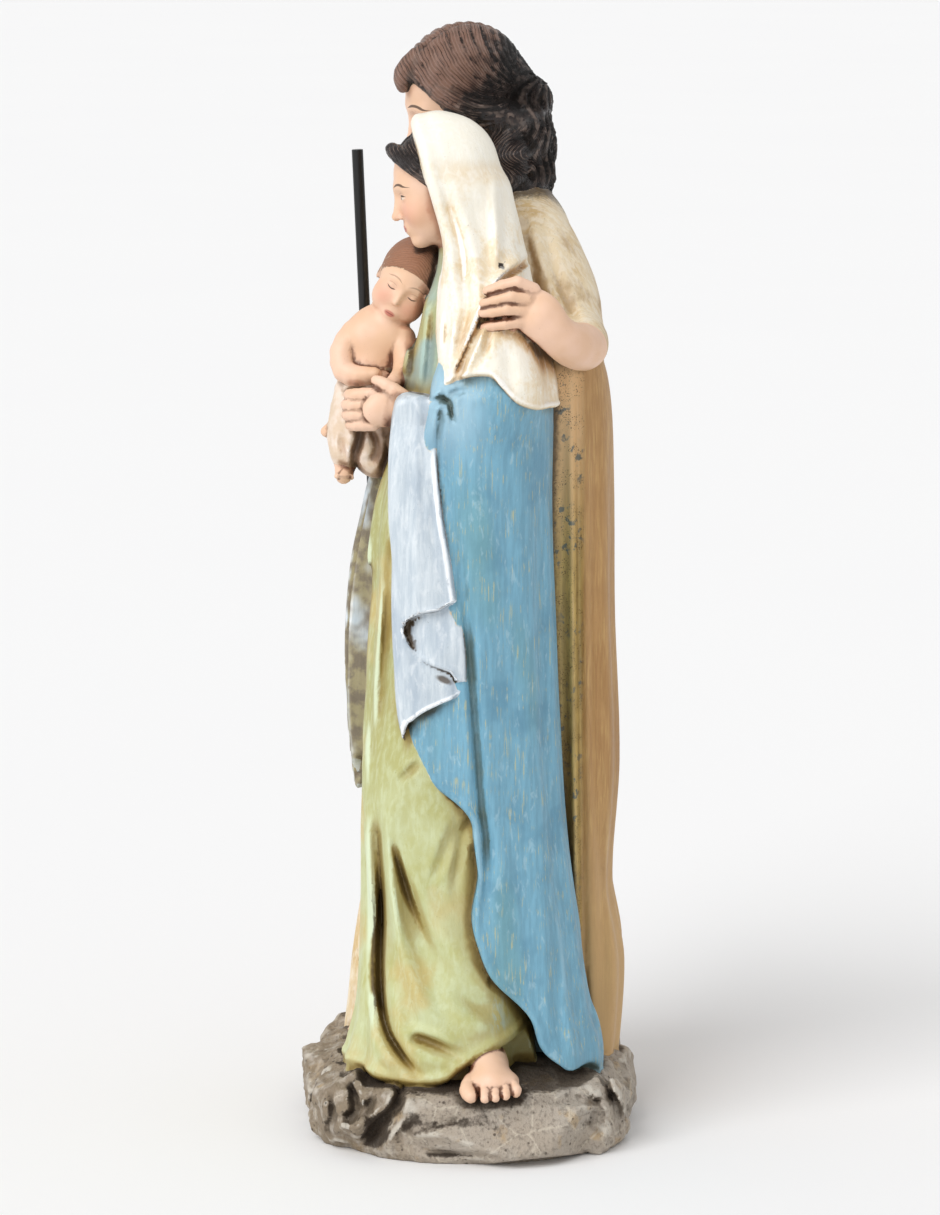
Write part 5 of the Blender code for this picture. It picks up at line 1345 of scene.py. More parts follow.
def note_surface(mesh, points, normals):
    """Leaves on the mesh what the painter goes by: each point's layer, its depth and its place on a head."""
    stack = spread(lambda q: np.stack(list(layers(q).values()), 1), points)
    for i, name in enumerate(LAYERS):
        others = np.delete(stack, i, axis=1).min(1)
        keep(mesh, "own_" + name, np.clip(stack[:, i] - others, -8, 8))
    for name, reach in (("crease", 0.9), ("hollow", 3.2), ("shelter", 9.0)):
        keep(mesh, name, filled_in(mesh, 1.0 - spread(clay, points + reach * normals) / reach))
    keep(mesh, "ridge", 1.0 + spread(clay, points - 1.3 * normals) / 1.3)
    for name, head in (("woman_face", WOMAN_HEAD), ("man_face", MAN_HEAD), ("child_face", CHILD_HEAD)):
        keep(mesh, name, on_head(points, head))
    across, along = combing(points)
    keep(mesh, "across", across)
    keep(mesh, "along", along)
    keep(mesh, "carver", points)


# Paint
def linear(colour):
    """A colour as typed on a paint card, 0 to 1, made ready for the shader."""
    return tuple(c / 12.92 if c <= 0.04045 else ((c + 0.055) / 1.055) ** 2.4 for c in colour)


class Brush:
    """Lays nodes in a material one stroke at a time."""

    def __init__(self, name):
        self.material = bpy.data.materials.new(name)
        self.material.use_nodes = True
        self.tree = self.material.node_tree
        self.shader = self.tree.nodes["Principled BSDF"]
        self.place = self.tree.nodes.new("ShaderNodeTexCoord").outputs["Object"]
        self.found = {}

    def link(self, value, socket):
        if isinstance(value, bpy.types.NodeSocket):
            self.tree.links.new(value, socket)
        elif isinstance(value, tuple) and len(value) == 3 and socket.type == "RGBA":
            socket.default_value = (*value, 1.0)
        else:
            socket.default_value = value

    def sum(self, operation, *values):
        node = self.tree.nodes.new("ShaderNodeMath")
        node.operation = operation
        for value, socket in zip(values, node.inputs):
            self.link(value, socket)
        return node.outputs[0]

    def noted(self, name, vector=False):
        if name not in self.found:
            node = self.tree.nodes.new("ShaderNodeAttribute")
            node.attribute_name = name
            self.found[name] = node
        return self.found[name].outputs["Vector" if vector else "Fac"]

    def parts(self, vector):
        node = self.tree.nodes.new("ShaderNodeSeparateXYZ")
        self.link(vector, node.inputs[0])
        return node.outputs

    def ramp(self, value, low, high, start=0.0, end=1.0):
        node = self.tree.nodes.new("ShaderNodeMapRange")
        node.interpolation_type = "SMOOTHSTEP"
        self.link(value, node.inputs["Value"])
        for name, number in zip(("From Min", "From Max", "To Min", "To Max"), (low, high, start, end)):
            node.inputs[name].default_value = number
        return node.outputs["Result"]

    def stretched(self, scale):
        node = self.tree.nodes.new("ShaderNodeMapping")
        self.link(self.place, node.inputs["Vector"])
        node.inputs["Scale"].default_value = scale
        return node.outputs["Vector"]

    def noise(self, scale, detail=3.0, stretch=None, rough=0.55, lift=0.0):
        node = self.tree.nodes.new("ShaderNodeTexNoise")
        self.link(self.stretched(stretch) if stretch else self.place, node.inputs["Vector"])
        node.inputs["Scale"].default_value = scale
        node.inputs["Detail"].default_value = detail
        node.inputs["Roughness"].default_value = rough
        node.inputs["Distortion"].default_value = lift
        return node.outputs["Fac"]

    def cells(self, scale, feature="F1"):
        node = self.tree.nodes.new("ShaderNodeTexVoronoi")
        node.feature = feature
        self.link(self.place, node.inputs["Vector"])
        node.inputs["Scale"].default_value = scale
        return node.outputs["Distance"]

    def mix(self, share, under, over, way="MIX"):
        node = self.tree.nodes.new("ShaderNodeMix")
        node.data_type = "RGBA"
        node.blend_type = way
        node.clamp_factor = True
        self.link(share, node.inputs[0])
        self.link(under, node.inputs[6])
        self.link(over, node.inputs[7])
        return node.outputs[2]

    def where(self, *shares):
        """The shares multiplied together."""
        total = shares[0]
        for share in shares[1:]:
            total = self.sum("MULTIPLY", total, share)
        return total

    def over(self, coat, colour, *shares):
        """A coat with another colour brushed over it as far as all the shares go together."""
        return self.mix(self.where(*shares), coat, linear(colour))

    def whose(self, layer, ragged, edge=0.10):
        """1 where a layer lies outermost, with a slightly ragged brushed edge."""
        wobble = self.sum("MULTIPLY_ADD", ragged, 0.5, -0.25)
        return self.ramp(self.sum("ADD", self.noted("own_" + layer), wobble), edge, -edge)

    def arc(self, across, up, middle, half, height, rise, thick, tilt=0.0):
        """A thin painted arc on both sides of a face: rise lifts its middle, tilt its outer end."""
        away = self.sum("SUBTRACT", self.sum("ABSOLUTE", across), middle)
        t = self.sum("DIVIDE", away, half)
        crown = self.sum("MULTIPLY_ADD", self.sum("MULTIPLY", t, t), -rise, rise + height)
        crown = self.sum("MULTIPLY_ADD", t, tilt, crown)
        off = self.sum("ABSOLUTE", self.sum("SUBTRACT", up, crown))
        width = self.ramp(self.sum("ABSOLUTE", t), 0.5, 1.0, thick, 0.15 * thick)
        line = self.ramp(self.sum("DIVIDE", off, width), 0.7, 1.25, 1.0, 0.0)
        return self.where(line, self.ramp(self.sum("ABSOLUTE", t), 0.96, 1.04, 1.0, 0.0))

    def spot(self, across, up, middle, height, wide, high, soft=0.35):
        """A painted oval on both sides of a face."""
        a = self.sum("DIVIDE", self.sum("SUBTRACT", self.sum("ABSOLUTE", across), middle), wide)
        b = self.sum("DIVIDE", self.sum("SUBTRACT", up, height), high)
        far = self.sum("SQRT", self.sum("ADD", self.sum("MULTIPLY", a, a), self.sum("MULTIPLY", b, b)))
        return self.ramp(far, 1.0 + soft, 1.0 - soft)

    def bump(self, height, metres):
        node = self.tree.nodes.new("ShaderNodeBump")
        self.link(height, node.inputs["Height"])
        node.inputs["Distance"].default_value = metres
        self.tree.links.new(node.outputs["Normal"], self.shader.inputs["Normal"])


def painted_face(b, col, name, brow, lashes, lips, open_eyes, brow_strength=0.85):
    """Brows, lashes and lips in the head's own axes."""
    across, ahead, up = b.parts(b.noted(name, True))
    front = b.where(b.ramp(ahead, 0.12, 0.18), b.ramp(b.sum("ABSOLUTE", up), 0.5, 0.45))
    front = b.where(front, b.whose("skin", 0.5))
    blush = b.where(front, b.spot(across, up, 0.17, -0.14, 0.10, 0.10, 0.9), 0.35)
    col = b.mix(blush, col, linear((0.86, 0.50, 0.42)))
    thick = 0.010 if open_eyes else 0.008
    line = b.arc(across, up, 0.135, 0.10, 0.085, 0.035, thick, -0.008)
    col = b.mix(b.where(front, line, brow_strength), col, linear(brow))
    if open_eyes:
        white = b.where(front, b.spot(across, up, 0.134, -0.004, 0.052, 0.014, 0.25))
        col = b.mix(b.where(white, 0.7), col, linear((0.93, 0.88, 0.82)))
        iris = b.where(white, b.spot(across, up, 0.134, -0.004, 0.020, 0.020, 0.3))
        col = b.mix(iris, col, linear((0.16, 0.10, 0.07)))
        lid = b.arc(across, up, 0.134, 0.062, 0.002, 0.016, 0.008, 0.004)
    else:
        lid = b.arc(across, up, 0.134, 0.058, -0.010, -0.016, 0.008, 0.004)
    col = b.mix(b.where(front, lid, 0.9), col, linear(lashes))
    fold = b.arc(across, up, 0.134, 0.060, 0.026, 0.016, 0.006)
    col = b.mix(b.where(front, fold, 0.25), col, linear((0.55, 0.33, 0.24)))
    mouth = b.where(front, b.ramp(ahead, 0.30, 0.33), b.spot(across, up, 0.0, -0.281, 0.062, 0.034, 0.3))
    col = b.mix(b.where(mouth, 0.75), col, linear(lips))
    line = b.arc(across, up, 0.0, 0.06, -0.281, 0.003, 0.006)
    return b.mix(b.where(front, b.ramp(ahead, 0.30, 0.33), line, 0.6), col, linear((0.42, 0.16, 0.14)))


class ResinBrush(Brush):
    """The brush for the casting: its colour card, its grains, and how deep each point lies."""

    def __init__(self, name, colours):
        super().__init__(name)
        self.card = {key: linear(getattr(colours, key)) for key in COLOUR_CARD}
        self.x, self.y, self.z = self.parts(self.noted("carver", True))
        self.broad = self.noise(70, 3)
        self.middle = self.noise(240, 5)
        self.small = self.noise(900, 4)
        self.speck = self.noise(2600, 2)
        self.strokes = self.noise(800, 4, (1, 1, 0.10), 0.6)
        self.hairline = self.noise(2200, 3, (1, 1, 0.05), 0.6)
        self.slanted = self.noise(900, 3, (1, 0.5, 0.22), 0.6, 0.4)
        self.crease = self.noted("crease")
        self.hollow = self.noted("hollow")
        self.shelter = self.noted("shelter")
        inside = self.sum("MAXIMUM", self.hollow, 0.0)
        self.ridge = self.sum("MULTIPLY_ADD", inside, -0.9, self.noted("ridge"))
        self.rough_hollow = self.sum("MULTIPLY_ADD", self.middle, 0.30, self.hollow)
        # deep steers the painted shade in the hollows, and crest the painted highlights on the crests
        self.deep = self.ramp(self.rough_hollow, 0.42, 1.05)
        self.crest = self.ramp(self.ridge, 0.16, 0.62)


def rock_coat(b):
    """Grey stone, browner on its rough side, with pale veins and dark pits, a dark brown wash and painted
    shade in its hollows, and painted highlights on its crests.
    """
    stone = b.mix(b.ramp(b.broad, 0.35, 0.65), b.card["stone"], linear((0.70, 0.66, 0.61)))
    stone = b.over(stone, (0.72, 0.60, 0.42), b.ramp(b.noise(130, 3), 0.58, 0.70), 0.55)
    stone = b.over(stone, (0.44, 0.41, 0.37), b.ramp(b.small, 0.50, 0.66), 0.5)
    vein = b.sum("ADD", b.cells(95, "DISTANCE_TO_EDGE"), b.sum("MULTIPLY_ADD", b.small, 0.10, -0.05))
    stone = b.over(stone, (0.80, 0.76, 0.69), b.ramp(vein, 0.035, 0.0), 0.55)
    stone = b.over(stone, (0.50, 0.435, 0.345), b.ramp(b.y, -10, -24), b.ramp(b.middle, 0.34, 0.56), 0.75)
    # dark brown wash and painted shade in the hollows
    stone = b.over(stone, (0.30, 0.25, 0.19), b.ramp(b.hollow, 0.15, 0.60), 0.8)
    # painted highlight: pale on the crests
    stone = b.over(stone, (0.80, 0.77, 0.72), b.ramp(b.ridge, 0.06, 0.45), 0.85)
    pits = b.where(b.ramp(b.cells(520), 0.28, 0.16), b.ramp(b.middle, 0.50, 0.62))
    stone = b.over(stone, (0.24, 0.20, 0.16), pits, 0.8)
    return stone


def skin_coat(b):
    """Flesh, with painted shade in warm brown in the hollows and a painted highlight on the crests."""
    skin = b.mix(b.ramp(b.broad, 0.35, 0.65), b.card["skin"], linear((0.93, 0.78, 0.68)))
    # painted shade: warm brown in the hollows
    skin = b.over(skin, (0.72, 0.47, 0.34), b.ramp(b.hollow, 0.2, 0.8), 0.55)
    # painted highlight on the crests
    skin = b.over(skin, (0.99, 0.86, 0.76), b.crest, 0.25)
    return skin


def combed(b):
    """Fine strands along the locks, from -1 to 1."""
    comb = b.sum("MULTIPLY_ADD", b.noted("across"), 3.0, b.sum("MULTIPLY", b.middle, 1.6))
    comb = b.sum("ADD", comb, b.sum("MULTIPLY", b.sum("SINE", b.noted("along")), 0.25))
    strand_wave = b.sum("SINE", b.sum("MULTIPLY", comb, math.tau))
    strand_fine = b.sum("SINE", b.sum("MULTIPLY", comb, 17.3))
    strands = b.sum("MULTIPLY_ADD", strand_fine, 0.4, b.sum("MULTIPLY", strand_wave, 0.6))
    parting_line = b.where(
        b.ramp(b.sum("ABSOLUTE", b.sum("SUBTRACT", b.z, 279.0)), 4.0, 0.5), b.ramp(b.y, 1, 4),
        b.ramp(b.x, 3, 1),
    )
    strands = b.where(strands, b.sum("SUBTRACT", 1.0, parting_line))
    return strands


def hair_coat(b, strands):
    """Nearly black hair with brown over the man's crown, painted highlights in grey on the lock crests and
    pale painted highlights along the strands.
    """
    man_ahead, man_up = b.parts(b.noted("man_face", True))[1:]
    crown = b.sum("MULTIPLY_ADD", man_ahead, 0.42, b.sum("MULTIPLY_ADD", b.middle, 0.25, man_up))
    crown = b.ramp(crown, 0.10, 0.42)
    crown = b.where(crown, b.ramp(man_up, -0.1, 0.1), b.ramp(b.x, 16, 11))
    raised = b.noted("ridge")
    hair = b.mix(
        b.where(crown, b.ramp(b.sum("MULTIPLY_ADD", b.broad, 0.5, crown), 0.35, 0.9)), b.card["hair"],
        b.card["crown"],
    )
    # painted highlight: a grey sheen on the crests of the locks
    hair = b.over(
        hair, (0.52, 0.45, 0.41), b.ramp(b.sum("MULTIPLY_ADD", b.small, 0.20, raised), 0.16, 0.42), 0.60,
    )
    # painted highlight: pale lines along the strands, in patches
    hair = b.over(hair, (0.66, 0.57, 0.52), b.ramp(strands, 0.25, 0.9), b.ramp(b.middle, 0.40, 0.58), 0.50)
    hair = b.over(
        hair, (0.10, 0.065, 0.055), b.ramp(strands, 0.0, -0.7), b.ramp(b.middle, 0.66, 0.42), 0.85,
    )
    hair = b.over(hair, (0.06, 0.04, 0.035), b.ramp(b.crease, 0.06, 0.32), 0.9)
    return hair


def child_hair_coat(b, strands):
    """Light brown, darker between the strands."""
    infant = b.mix(b.ramp(strands, -0.7, 0.5, 0.4, 1.0), linear((0.58, 0.40, 0.30)), b.card["child_hair"])
    infant = b.over(infant, (0.34, 0.20, 0.13), b.ramp(b.crease, 0.08, 0.35), 0.7)
    return infant


def veil_coat(b):
    """Cream, stained tan low down, with painted shade in tan and brown in the folds, one dark chip, and a
    painted highlight on the crests.
    """
    smudged = b.where(
        b.ramp(b.z, 285, 240), b.ramp(b.sum("MULTIPLY_ADD", b.small, 0.3, b.noise(75, 4)), 0.60, 0.80),
        0.65,
    )
    veil = b.mix(smudged, b.card["veil"], linear((0.89, 0.79, 0.61)))
    # painted shade: tan in the hollows of the folds, brown in the deepest
    veil = b.over(veil, (0.86, 0.74, 0.55), b.ramp(b.hollow, 0.05, 0.4), 0.6)
    veil = b.over(veil, (0.74, 0.57, 0.38), b.deep, 0.9)
    chip = b.sum(
        "MAXIMUM", b.sum("ABSOLUTE", b.sum("SUBTRACT", b.y, 8.4)),
        b.sum("ABSOLUTE", b.sum("SUBTRACT", b.z, 242.0)),
    )
    veil = b.over(
        veil, (0.16, 0.11, 0.07), b.ramp(b.sum("MULTIPLY_ADD", b.small, 1.4, chip), 1.7, 1.2),
        b.ramp(b.x, 5, 12),
    )
    veil = b.over(veil, (0.99, 0.98, 0.95), b.ramp(b.slanted, 0.48, 0.66), 0.35)
    # painted highlight: near white on the crests
    veil = b.over(veil, (1.0, 0.99, 0.97), b.crest, 0.9)
    return veil


def tunic_coat(b):
    """Cream with tan stains, and a tan sleeve."""
    tunic = b.mix(b.ramp(b.broad, 0.38, 0.62), b.card["tunic"], linear((0.83, 0.72, 0.53)))
    tunic = b.over(tunic, (0.94, 0.90, 0.83), b.ramp(b.slanted, 0.42, 0.62), 0.55)
    tunic = b.over(
        tunic, (0.62, 0.48, 0.28),
        b.ramp(b.sum("MULTIPLY_ADD", b.hollow, 0.35, b.noise(85, 5)), 0.52, 0.70), 0.55,
    )
    # painted shade: brown in the deepest hollows
    tunic = b.over(tunic, (0.55, 0.42, 0.25), b.deep, 0.85)
    # painted highlight on the crests
    tunic = b.over(tunic, (0.97, 0.94, 0.88), b.crest, 0.7)
    sleeve = b.ramp(b.sum("MULTIPLY_ADD", b.x, 0.10, b.z), 225, 219)
    tunic = b.mix(
        b.where(sleeve, b.ramp(b.y, 18, 24)), tunic,
        b.mix(b.ramp(b.hairline, 0.45, 0.62), linear((0.80, 0.66, 0.47)), linear((0.87, 0.76, 0.58))),
    )
    return tunic


def mantle_coat(b):
    """Blue with streaks of lighter paint and worn yellow hairlines, painted highlights on its upper front and
    crests, and painted shade in its deep folds.
    """
    mantle = b.mix(b.ramp(b.strokes, 0.36, 0.64), b.card["mantle"], linear((0.47, 0.67, 0.76)))
    mantle = b.over(mantle, (0.35, 0.54, 0.64), b.ramp(b.broad, 0.50, 0.68), 0.55)
    mantle = b.over(mantle, (0.42, 0.60, 0.60), b.ramp(b.noise(45, 2, (1, 1, 0.35)), 0.56, 0.72), 0.45)
    mantle = b.over(
        mantle, (0.72, 0.72, 0.55), b.ramp(b.hairline, 0.55, 0.66), b.ramp(b.middle, 0.44, 0.60), 0.75,
    )
    mantle = b.over(mantle, (0.68, 0.80, 0.84), b.ramp(b.slanted, 0.56, 0.70), 0.40)
    # painted highlight: paler blue over the upper front
    mantle = b.over(mantle, (0.68, 0.80, 0.86), b.ramp(b.z, 185, 205), b.ramp(b.y, 8, -4), 0.65)
    # painted shade in the deep folds
    mantle = b.over(mantle, (0.30, 0.34, 0.28), b.deep, 0.8)
    # painted highlight on the crests
    mantle = b.over(mantle, (0.64, 0.80, 0.87), b.crest, 0.6)
    return mantle


def lining_coat(b):
    """Pale blue, with painted shade in grey and brown in its hollows and a painted highlight in white on the
    hems; olive on the far side, spread further into its hollows as painted shade, with paler painted
    highlights on its edges.
    """
    lining = b.mix(b.ramp(b.strokes, 0.34, 0.66), b.card["lining"], linear((0.81, 0.845, 0.87)))
    lining = b.over(lining, (0.62, 0.68, 0.74), b.ramp(b.noise(120, 3, (1, 1, 0.25)), 0.50, 0.64), 0.5)
    lining = b.over(lining, (0.90, 0.918, 0.93), b.ramp(b.slanted, 0.50, 0.72), 0.45)
    # painted shade: grey in the hollows, brown in the deepest
    lining = b.over(lining, (0.55, 0.56, 0.58), b.ramp(b.hollow, 0.15, 0.5), 0.5)
    lining = b.over(lining, (0.36, 0.31, 0.25), b.deep)
    # painted highlight: near white on the hems and crests
    lining = b.over(lining, (0.96, 0.975, 0.99), b.ramp(b.ridge, 0.10, 0.42), 0.95)
    far_side = b.where(b.ramp(b.y, -22, -24), b.ramp(b.x, 42, 34))
    far_olive = b.mix(b.ramp(b.middle, 0.40, 0.60), linear((0.60, 0.54, 0.34)), linear((0.42, 0.34, 0.18)))
    # olive over the far side in patches, reaching further into its hollows as painted shade
    worn = b.ramp(b.sum("MULTIPLY_ADD", b.sum("MAXIMUM", b.hollow, 0.0), 0.4, b.noise(60, 3)), 0.36, 0.52)
    lining = b.mix(b.where(far_side, worn, 0.85), lining, far_olive)
    # painted highlight: paler edges on the far side
    lining = b.over(lining, (0.80, 0.83, 0.82), far_side, b.ramp(b.ridge, 0.30, 0.70), 0.6)
    return lining


def dress_coat(b):
    """Yellow green, with painted shade in olive in the folds, under overhangs and higher up under the child
    and arms, painted highlights on the ridges, and patches of blue.
    """
    dress = b.mix(b.ramp(b.broad, 0.36, 0.64), b.card["dress"], linear((0.72, 0.72, 0.48)))
    # painted shade: darker olive higher up, under the child and the arms
    dress = b.over(dress, (0.64, 0.625, 0.40), b.ramp(b.z, 70, 140), 0.7)
    dress = b.over(dress, (0.80, 0.70, 0.46), b.ramp(b.noise(38, 3), 0.50, 0.64), 0.6)
    dress = b.over(dress, (0.84, 0.88, 0.74), b.ramp(b.slanted, 0.40, 0.70), 0.35)
    # painted shade under overhangs
    dress = b.over(dress, (0.64, 0.55, 0.29), b.ramp(b.shelter, 0.02, 0.50), 0.6)
    # painted shade: olive in the hollows, brown in the deepest
    dress = b.over(dress, (0.58, 0.48, 0.22), b.ramp(b.hollow, 0.10, 0.60), 0.7)
    dress = b.over(dress, (0.42, 0.34, 0.15), b.deep, 0.75)
    # painted highlight: whitish green on the ridges
    dress = b.over(dress, (0.87, 0.92, 0.80), b.ramp(b.ridge, 0.05, 0.45), b.ramp(b.z, 200, 185, 0.3, 0.75))
    patch = b.where(
        b.ramp(b.z, 33, 36), b.ramp(b.z, 45, 41), b.ramp(b.y, 5, 8), b.ramp(b.y, 16, 13),
        b.ramp(b.x, 38, 44), b.ramp(b.slanted, 0.42, 0.56),
    )
    chest = b.where(b.ramp(b.z, 206, 214), b.ramp(b.y, -4, -12), b.ramp(b.broad, 0.38, 0.60), 0.8)
    dress = b.over(dress, (0.58, 0.74, 0.78), b.sum("MAXIMUM", patch, chest), 0.75)
    return dress


def swaddle_coat(b):
    """Pinkish tan for the child's cloth."""
    swaddle = b.mix(b.ramp(b.middle, 0.36, 0.64), b.card["swaddle"], linear((0.92, 0.85, 0.79)))
    # painted shade: brown in the hollows, darker in the deepest
    swaddle = b.over(swaddle, (0.66, 0.50, 0.36), b.ramp(b.hollow, 0.1, 0.6), 0.6)
    swaddle = b.over(swaddle, (0.38, 0.26, 0.16), b.deep, 0.65)
    # painted highlight on the ridges
    swaddle = b.over(swaddle, (0.98, 0.94, 0.91), b.ramp(b.ridge, 0.08, 0.4), 0.85)
    return swaddle


def cloak_coat(b):
    """Tan with fine strokes, and an ochre strip beside the mantle."""
    cloak = b.mix(b.ramp(b.strokes, 0.36, 0.64), b.card["cloak"], linear((0.67, 0.51, 0.32)))
    cloak = b.over(
        cloak, (0.84, 0.70, 0.46), b.ramp(b.hairline, 0.46, 0.66), b.ramp(b.broad, 0.36, 0.60), 0.45,
    )
    cloak = b.over(cloak, (0.63, 0.46, 0.27), b.ramp(b.noise(55, 3, (1, 1, 0.3)), 0.50, 0.66), 0.5)
    cloak = b.over(cloak, (0.80, 0.66, 0.45), b.ramp(b.z, 110, 40), 0.6)
    strip = b.where(b.ramp(b.y, 31.6, 30.0), b.ramp(b.x, -8, 0), b.ramp(b.y, 15, 20))
    ochre = b.mix(b.ramp(b.strokes, 0.4, 0.62), b.card["cloak_edge"], linear((0.70, 0.60, 0.38)))
    ochre = b.over(ochre, (0.87, 0.72, 0.53), b.ramp(b.z, 150, 200))
    ochre = b.over(
        ochre, (0.36, 0.42, 0.42), b.ramp(b.noise(420, 4), 0.56, 0.62), b.ramp(b.broad, 0.46, 0.56), 0.85,
    )
    ochre = b.over(
        ochre, (0.24, 0.19, 0.12), b.ramp(b.speck, 0.58, 0.64), b.ramp(b.middle, 0.46, 0.56), 0.85,
    )
    cloak = b.mix(strip, cloak, ochre)
    # painted shade in the deep folds
    cloak = b.over(cloak, (0.38, 0.27, 0.12), b.deep, 0.7)
    # painted highlight: gold on the crests
    cloak = b.over(cloak, (0.89, 0.78, 0.58), b.crest, 0.7)
    return cloak


def washed_and_shaded(b, col, masks):
    """The paint with the dark wash that settles in its creases, painted shade in the deepest hollows, between
    fingers and toes and on the rock at the foot of the figures, and each layer's share of the wash.
    """
    faces = [b.parts(b.noted(name, True)) for name in ("woman_face", "man_face", "child_face")]
    clean = 0.0
    for side, ahead, up in faces:
        near_face = b.where(b.ramp(ahead, 0.05, 0.15), b.ramp(b.sum("ABSOLUTE", up), 0.55, 0.42))
        near_face = b.where(near_face, b.ramp(b.sum("ABSOLUTE", side), 0.42, 0.34), b.ramp(ahead, 0.8, 0.6))
        clean = b.sum("MAXIMUM", clean, near_face)
    on_skin = masks["skin"]
    strength = b.sum("SUBTRACT", 1.0, b.where(on_skin, b.sum("MULTIPLY_ADD", clean, 0.45, 0.35)))
    line = b.ramp(b.sum("MULTIPLY_ADD", b.small, 0.40, b.crease), 0.46, 0.90)
    core = b.where(line, b.ramp(b.rough_hollow, 0.30, 0.75))
    # painted shade: the deepest hollows darkened beside the wash line
    pool = b.ramp(b.sum("MULTIPLY_ADD", b.small, 0.35, b.hollow), 1.02, 1.35)
    # wash and painted shade on the rock where the figures stand over it
    wash_and_shade_at_foot = b.where(
        masks["rock"],
        b.ramp(
            b.sum("ADD", b.shelter, b.sum("MULTIPLY_ADD", b.small, 0.5, b.where(b.middle, 0.4))), 0.72,
            1.05,
        ),
        b.ramp(b.y, 34, 20),
    )
    dark = b.sum("MAXIMUM", b.sum("MAXIMUM", core, b.where(pool, 0.8)), wash_and_shade_at_foot)
    # the colour of the wash and of the painted shade, for each layer
    wash_and_shade = b.mix(on_skin, b.card["wash"], linear((0.40, 0.22, 0.13)))
    wash_and_shade = b.over(wash_and_shade, (0.25, 0.185, 0.075), b.sum("MAXIMUM", masks["dress"], masks["cloak"]))
    wash_and_shade = b.over(wash_and_shade, (0.20, 0.22, 0.17), masks["mantle"])
    wash_and_shade = b.over(wash_and_shade, (0.20, 0.155, 0.11), masks["rock"])
    # wash and painted shade: brown between the fingers and toes
    toes = b.where(on_skin, b.ramp(b.crease, 0.06, 0.36), b.sum("SUBTRACT", 1.0, clean), 0.9)
    col = b.over(col, (0.38, 0.23, 0.15), toes)
    strength = b.sum("SUBTRACT", strength, b.where(masks["swaddle"], 0.35))
    strength = b.sum("SUBTRACT", strength, b.where(masks["mantle"], 0.20))
    strength = b.sum("SUBTRACT", strength, b.where(masks["dress"], 0.15))
    wash_and_shade = b.over(wash_and_shade, (0.24, 0.19, 0.13), masks["lining"])
    col = b.mix(b.where(dark, strength, 0.88), col, wash_and_shade)
    return col, strength


def shade_and_spatter(b, col, masks, strength):
    """The paint with painted shade in certain places: beside the mantle, in the pocket of its turned edge,
    under the hem of that edge and below the hair; then dark spatter over all.
    """
    # painted shade: a dark band along the join of the mantle and the cloak
    beside = b.where(
        masks["cloak"], b.ramp(b.sum("MULTIPLY_ADD", b.small, 2.5, b.noted("own_mantle")), 4.6, 1.8),
    )
    beside = b.sum(
        "MAXIMUM", beside,
        b.where(
            masks["mantle"], b.ramp(b.sum("MULTIPLY_ADD", b.small, 2.0, b.noted("own_cloak")), 2.4, 0.9),
            0.7,
        ),
    )
    col = b.over(col, (0.20, 0.16, 0.09), beside, 0.85)
    # painted shade in the pocket of the turned edge
    side_off = b.sum("DIVIDE", b.sum("ADD", b.y, 6.9), 2.7)
    up_off = b.sum("DIVIDE", b.sum("ADD", b.z, b.sum("MULTIPLY_ADD", b.y, 0.35, -129.2)), 1.25)
    off = b.sum(
        "SQRT", b.sum("ADD", b.sum("MULTIPLY", side_off, side_off), b.sum("MULTIPLY", up_off, up_off)),
    )
    pocket = b.where(
        masks["lining"], b.ramp(b.sum("MULTIPLY_ADD", b.small, 0.4, off), 1.25, 0.65), b.ramp(b.x, 30, 38),
    )
    col = b.over(col, (0.30, 0.23, 0.15), pocket, 0.85)
    # painted shadow on the mantle under the hem of its turned edge
    shade_under_hem = b.where(
        masks["mantle"], b.ramp(b.sum("MULTIPLY_ADD", b.middle, 9.0, b.noted("own_lining")), 9.5, 4.5),
        b.ramp(b.z, 128, 122), b.ramp(b.y, -6, -10),
    )
    col = b.over(col, (0.19, 0.19, 0.13), shade_under_hem, 0.85)
    # below the man's hair: the dark ends of the hair, and painted shade under them
    hair_ends_and_shade = b.where(
        masks["tunic"],
        b.ramp(
            b.sum("MULTIPLY_ADD", b.sum("ADD", b.small, b.hairline), 8.0, b.noted("own_hair")), 15.5, 9.5,
        ),
    )
    col = b.over(col, (0.20, 0.13, 0.07), hair_ends_and_shade, 0.85)
    spatter = b.where(b.ramp(b.speck, 0.66, 0.72), b.ramp(b.middle, 0.50, 0.62), strength, 0.35)
    col = b.mix(spatter, col, b.card["wash"])
    return col


def give_grain(b, masks, strands):
    """Gloss and fine relief for each layer."""
    gloss = b.sum("MULTIPLY_ADD", b.small, 0.22, 0.36)
    gloss = b.sum("ADD", gloss, b.where(masks["rock"], 0.22))
    gloss = b.sum("SUBTRACT", gloss, b.where(masks["hair"], 0.24))
    b.link(gloss, b.shader.inputs["Roughness"])
    b.shader.inputs["Specular IOR Level"].default_value = 0.42
    cloth = b.sum("SUBTRACT", 1.0, b.sum("ADD", masks["rock"], b.sum("ADD", masks["skin"], masks["hair"])))
    height = b.where(
        b.sum("MAXIMUM", cloth, 0.0), b.sum("MULTIPLY_ADD", b.strokes, 0.35, b.where(b.small, 0.30)),
    )
    height = b.sum(
        "ADD", height, b.where(masks["rock"], b.sum("MULTIPLY_ADD", b.small, 1.6, b.where(b.speck, 0.8))),
    )
    locks_here = b.sum("ADD", masks["hair"], b.where(masks["child_hair"], 0.6))
    height = b.sum("ADD", height, b.where(locks_here, strands, 0.45))
    b.bump(height, 0.00035)


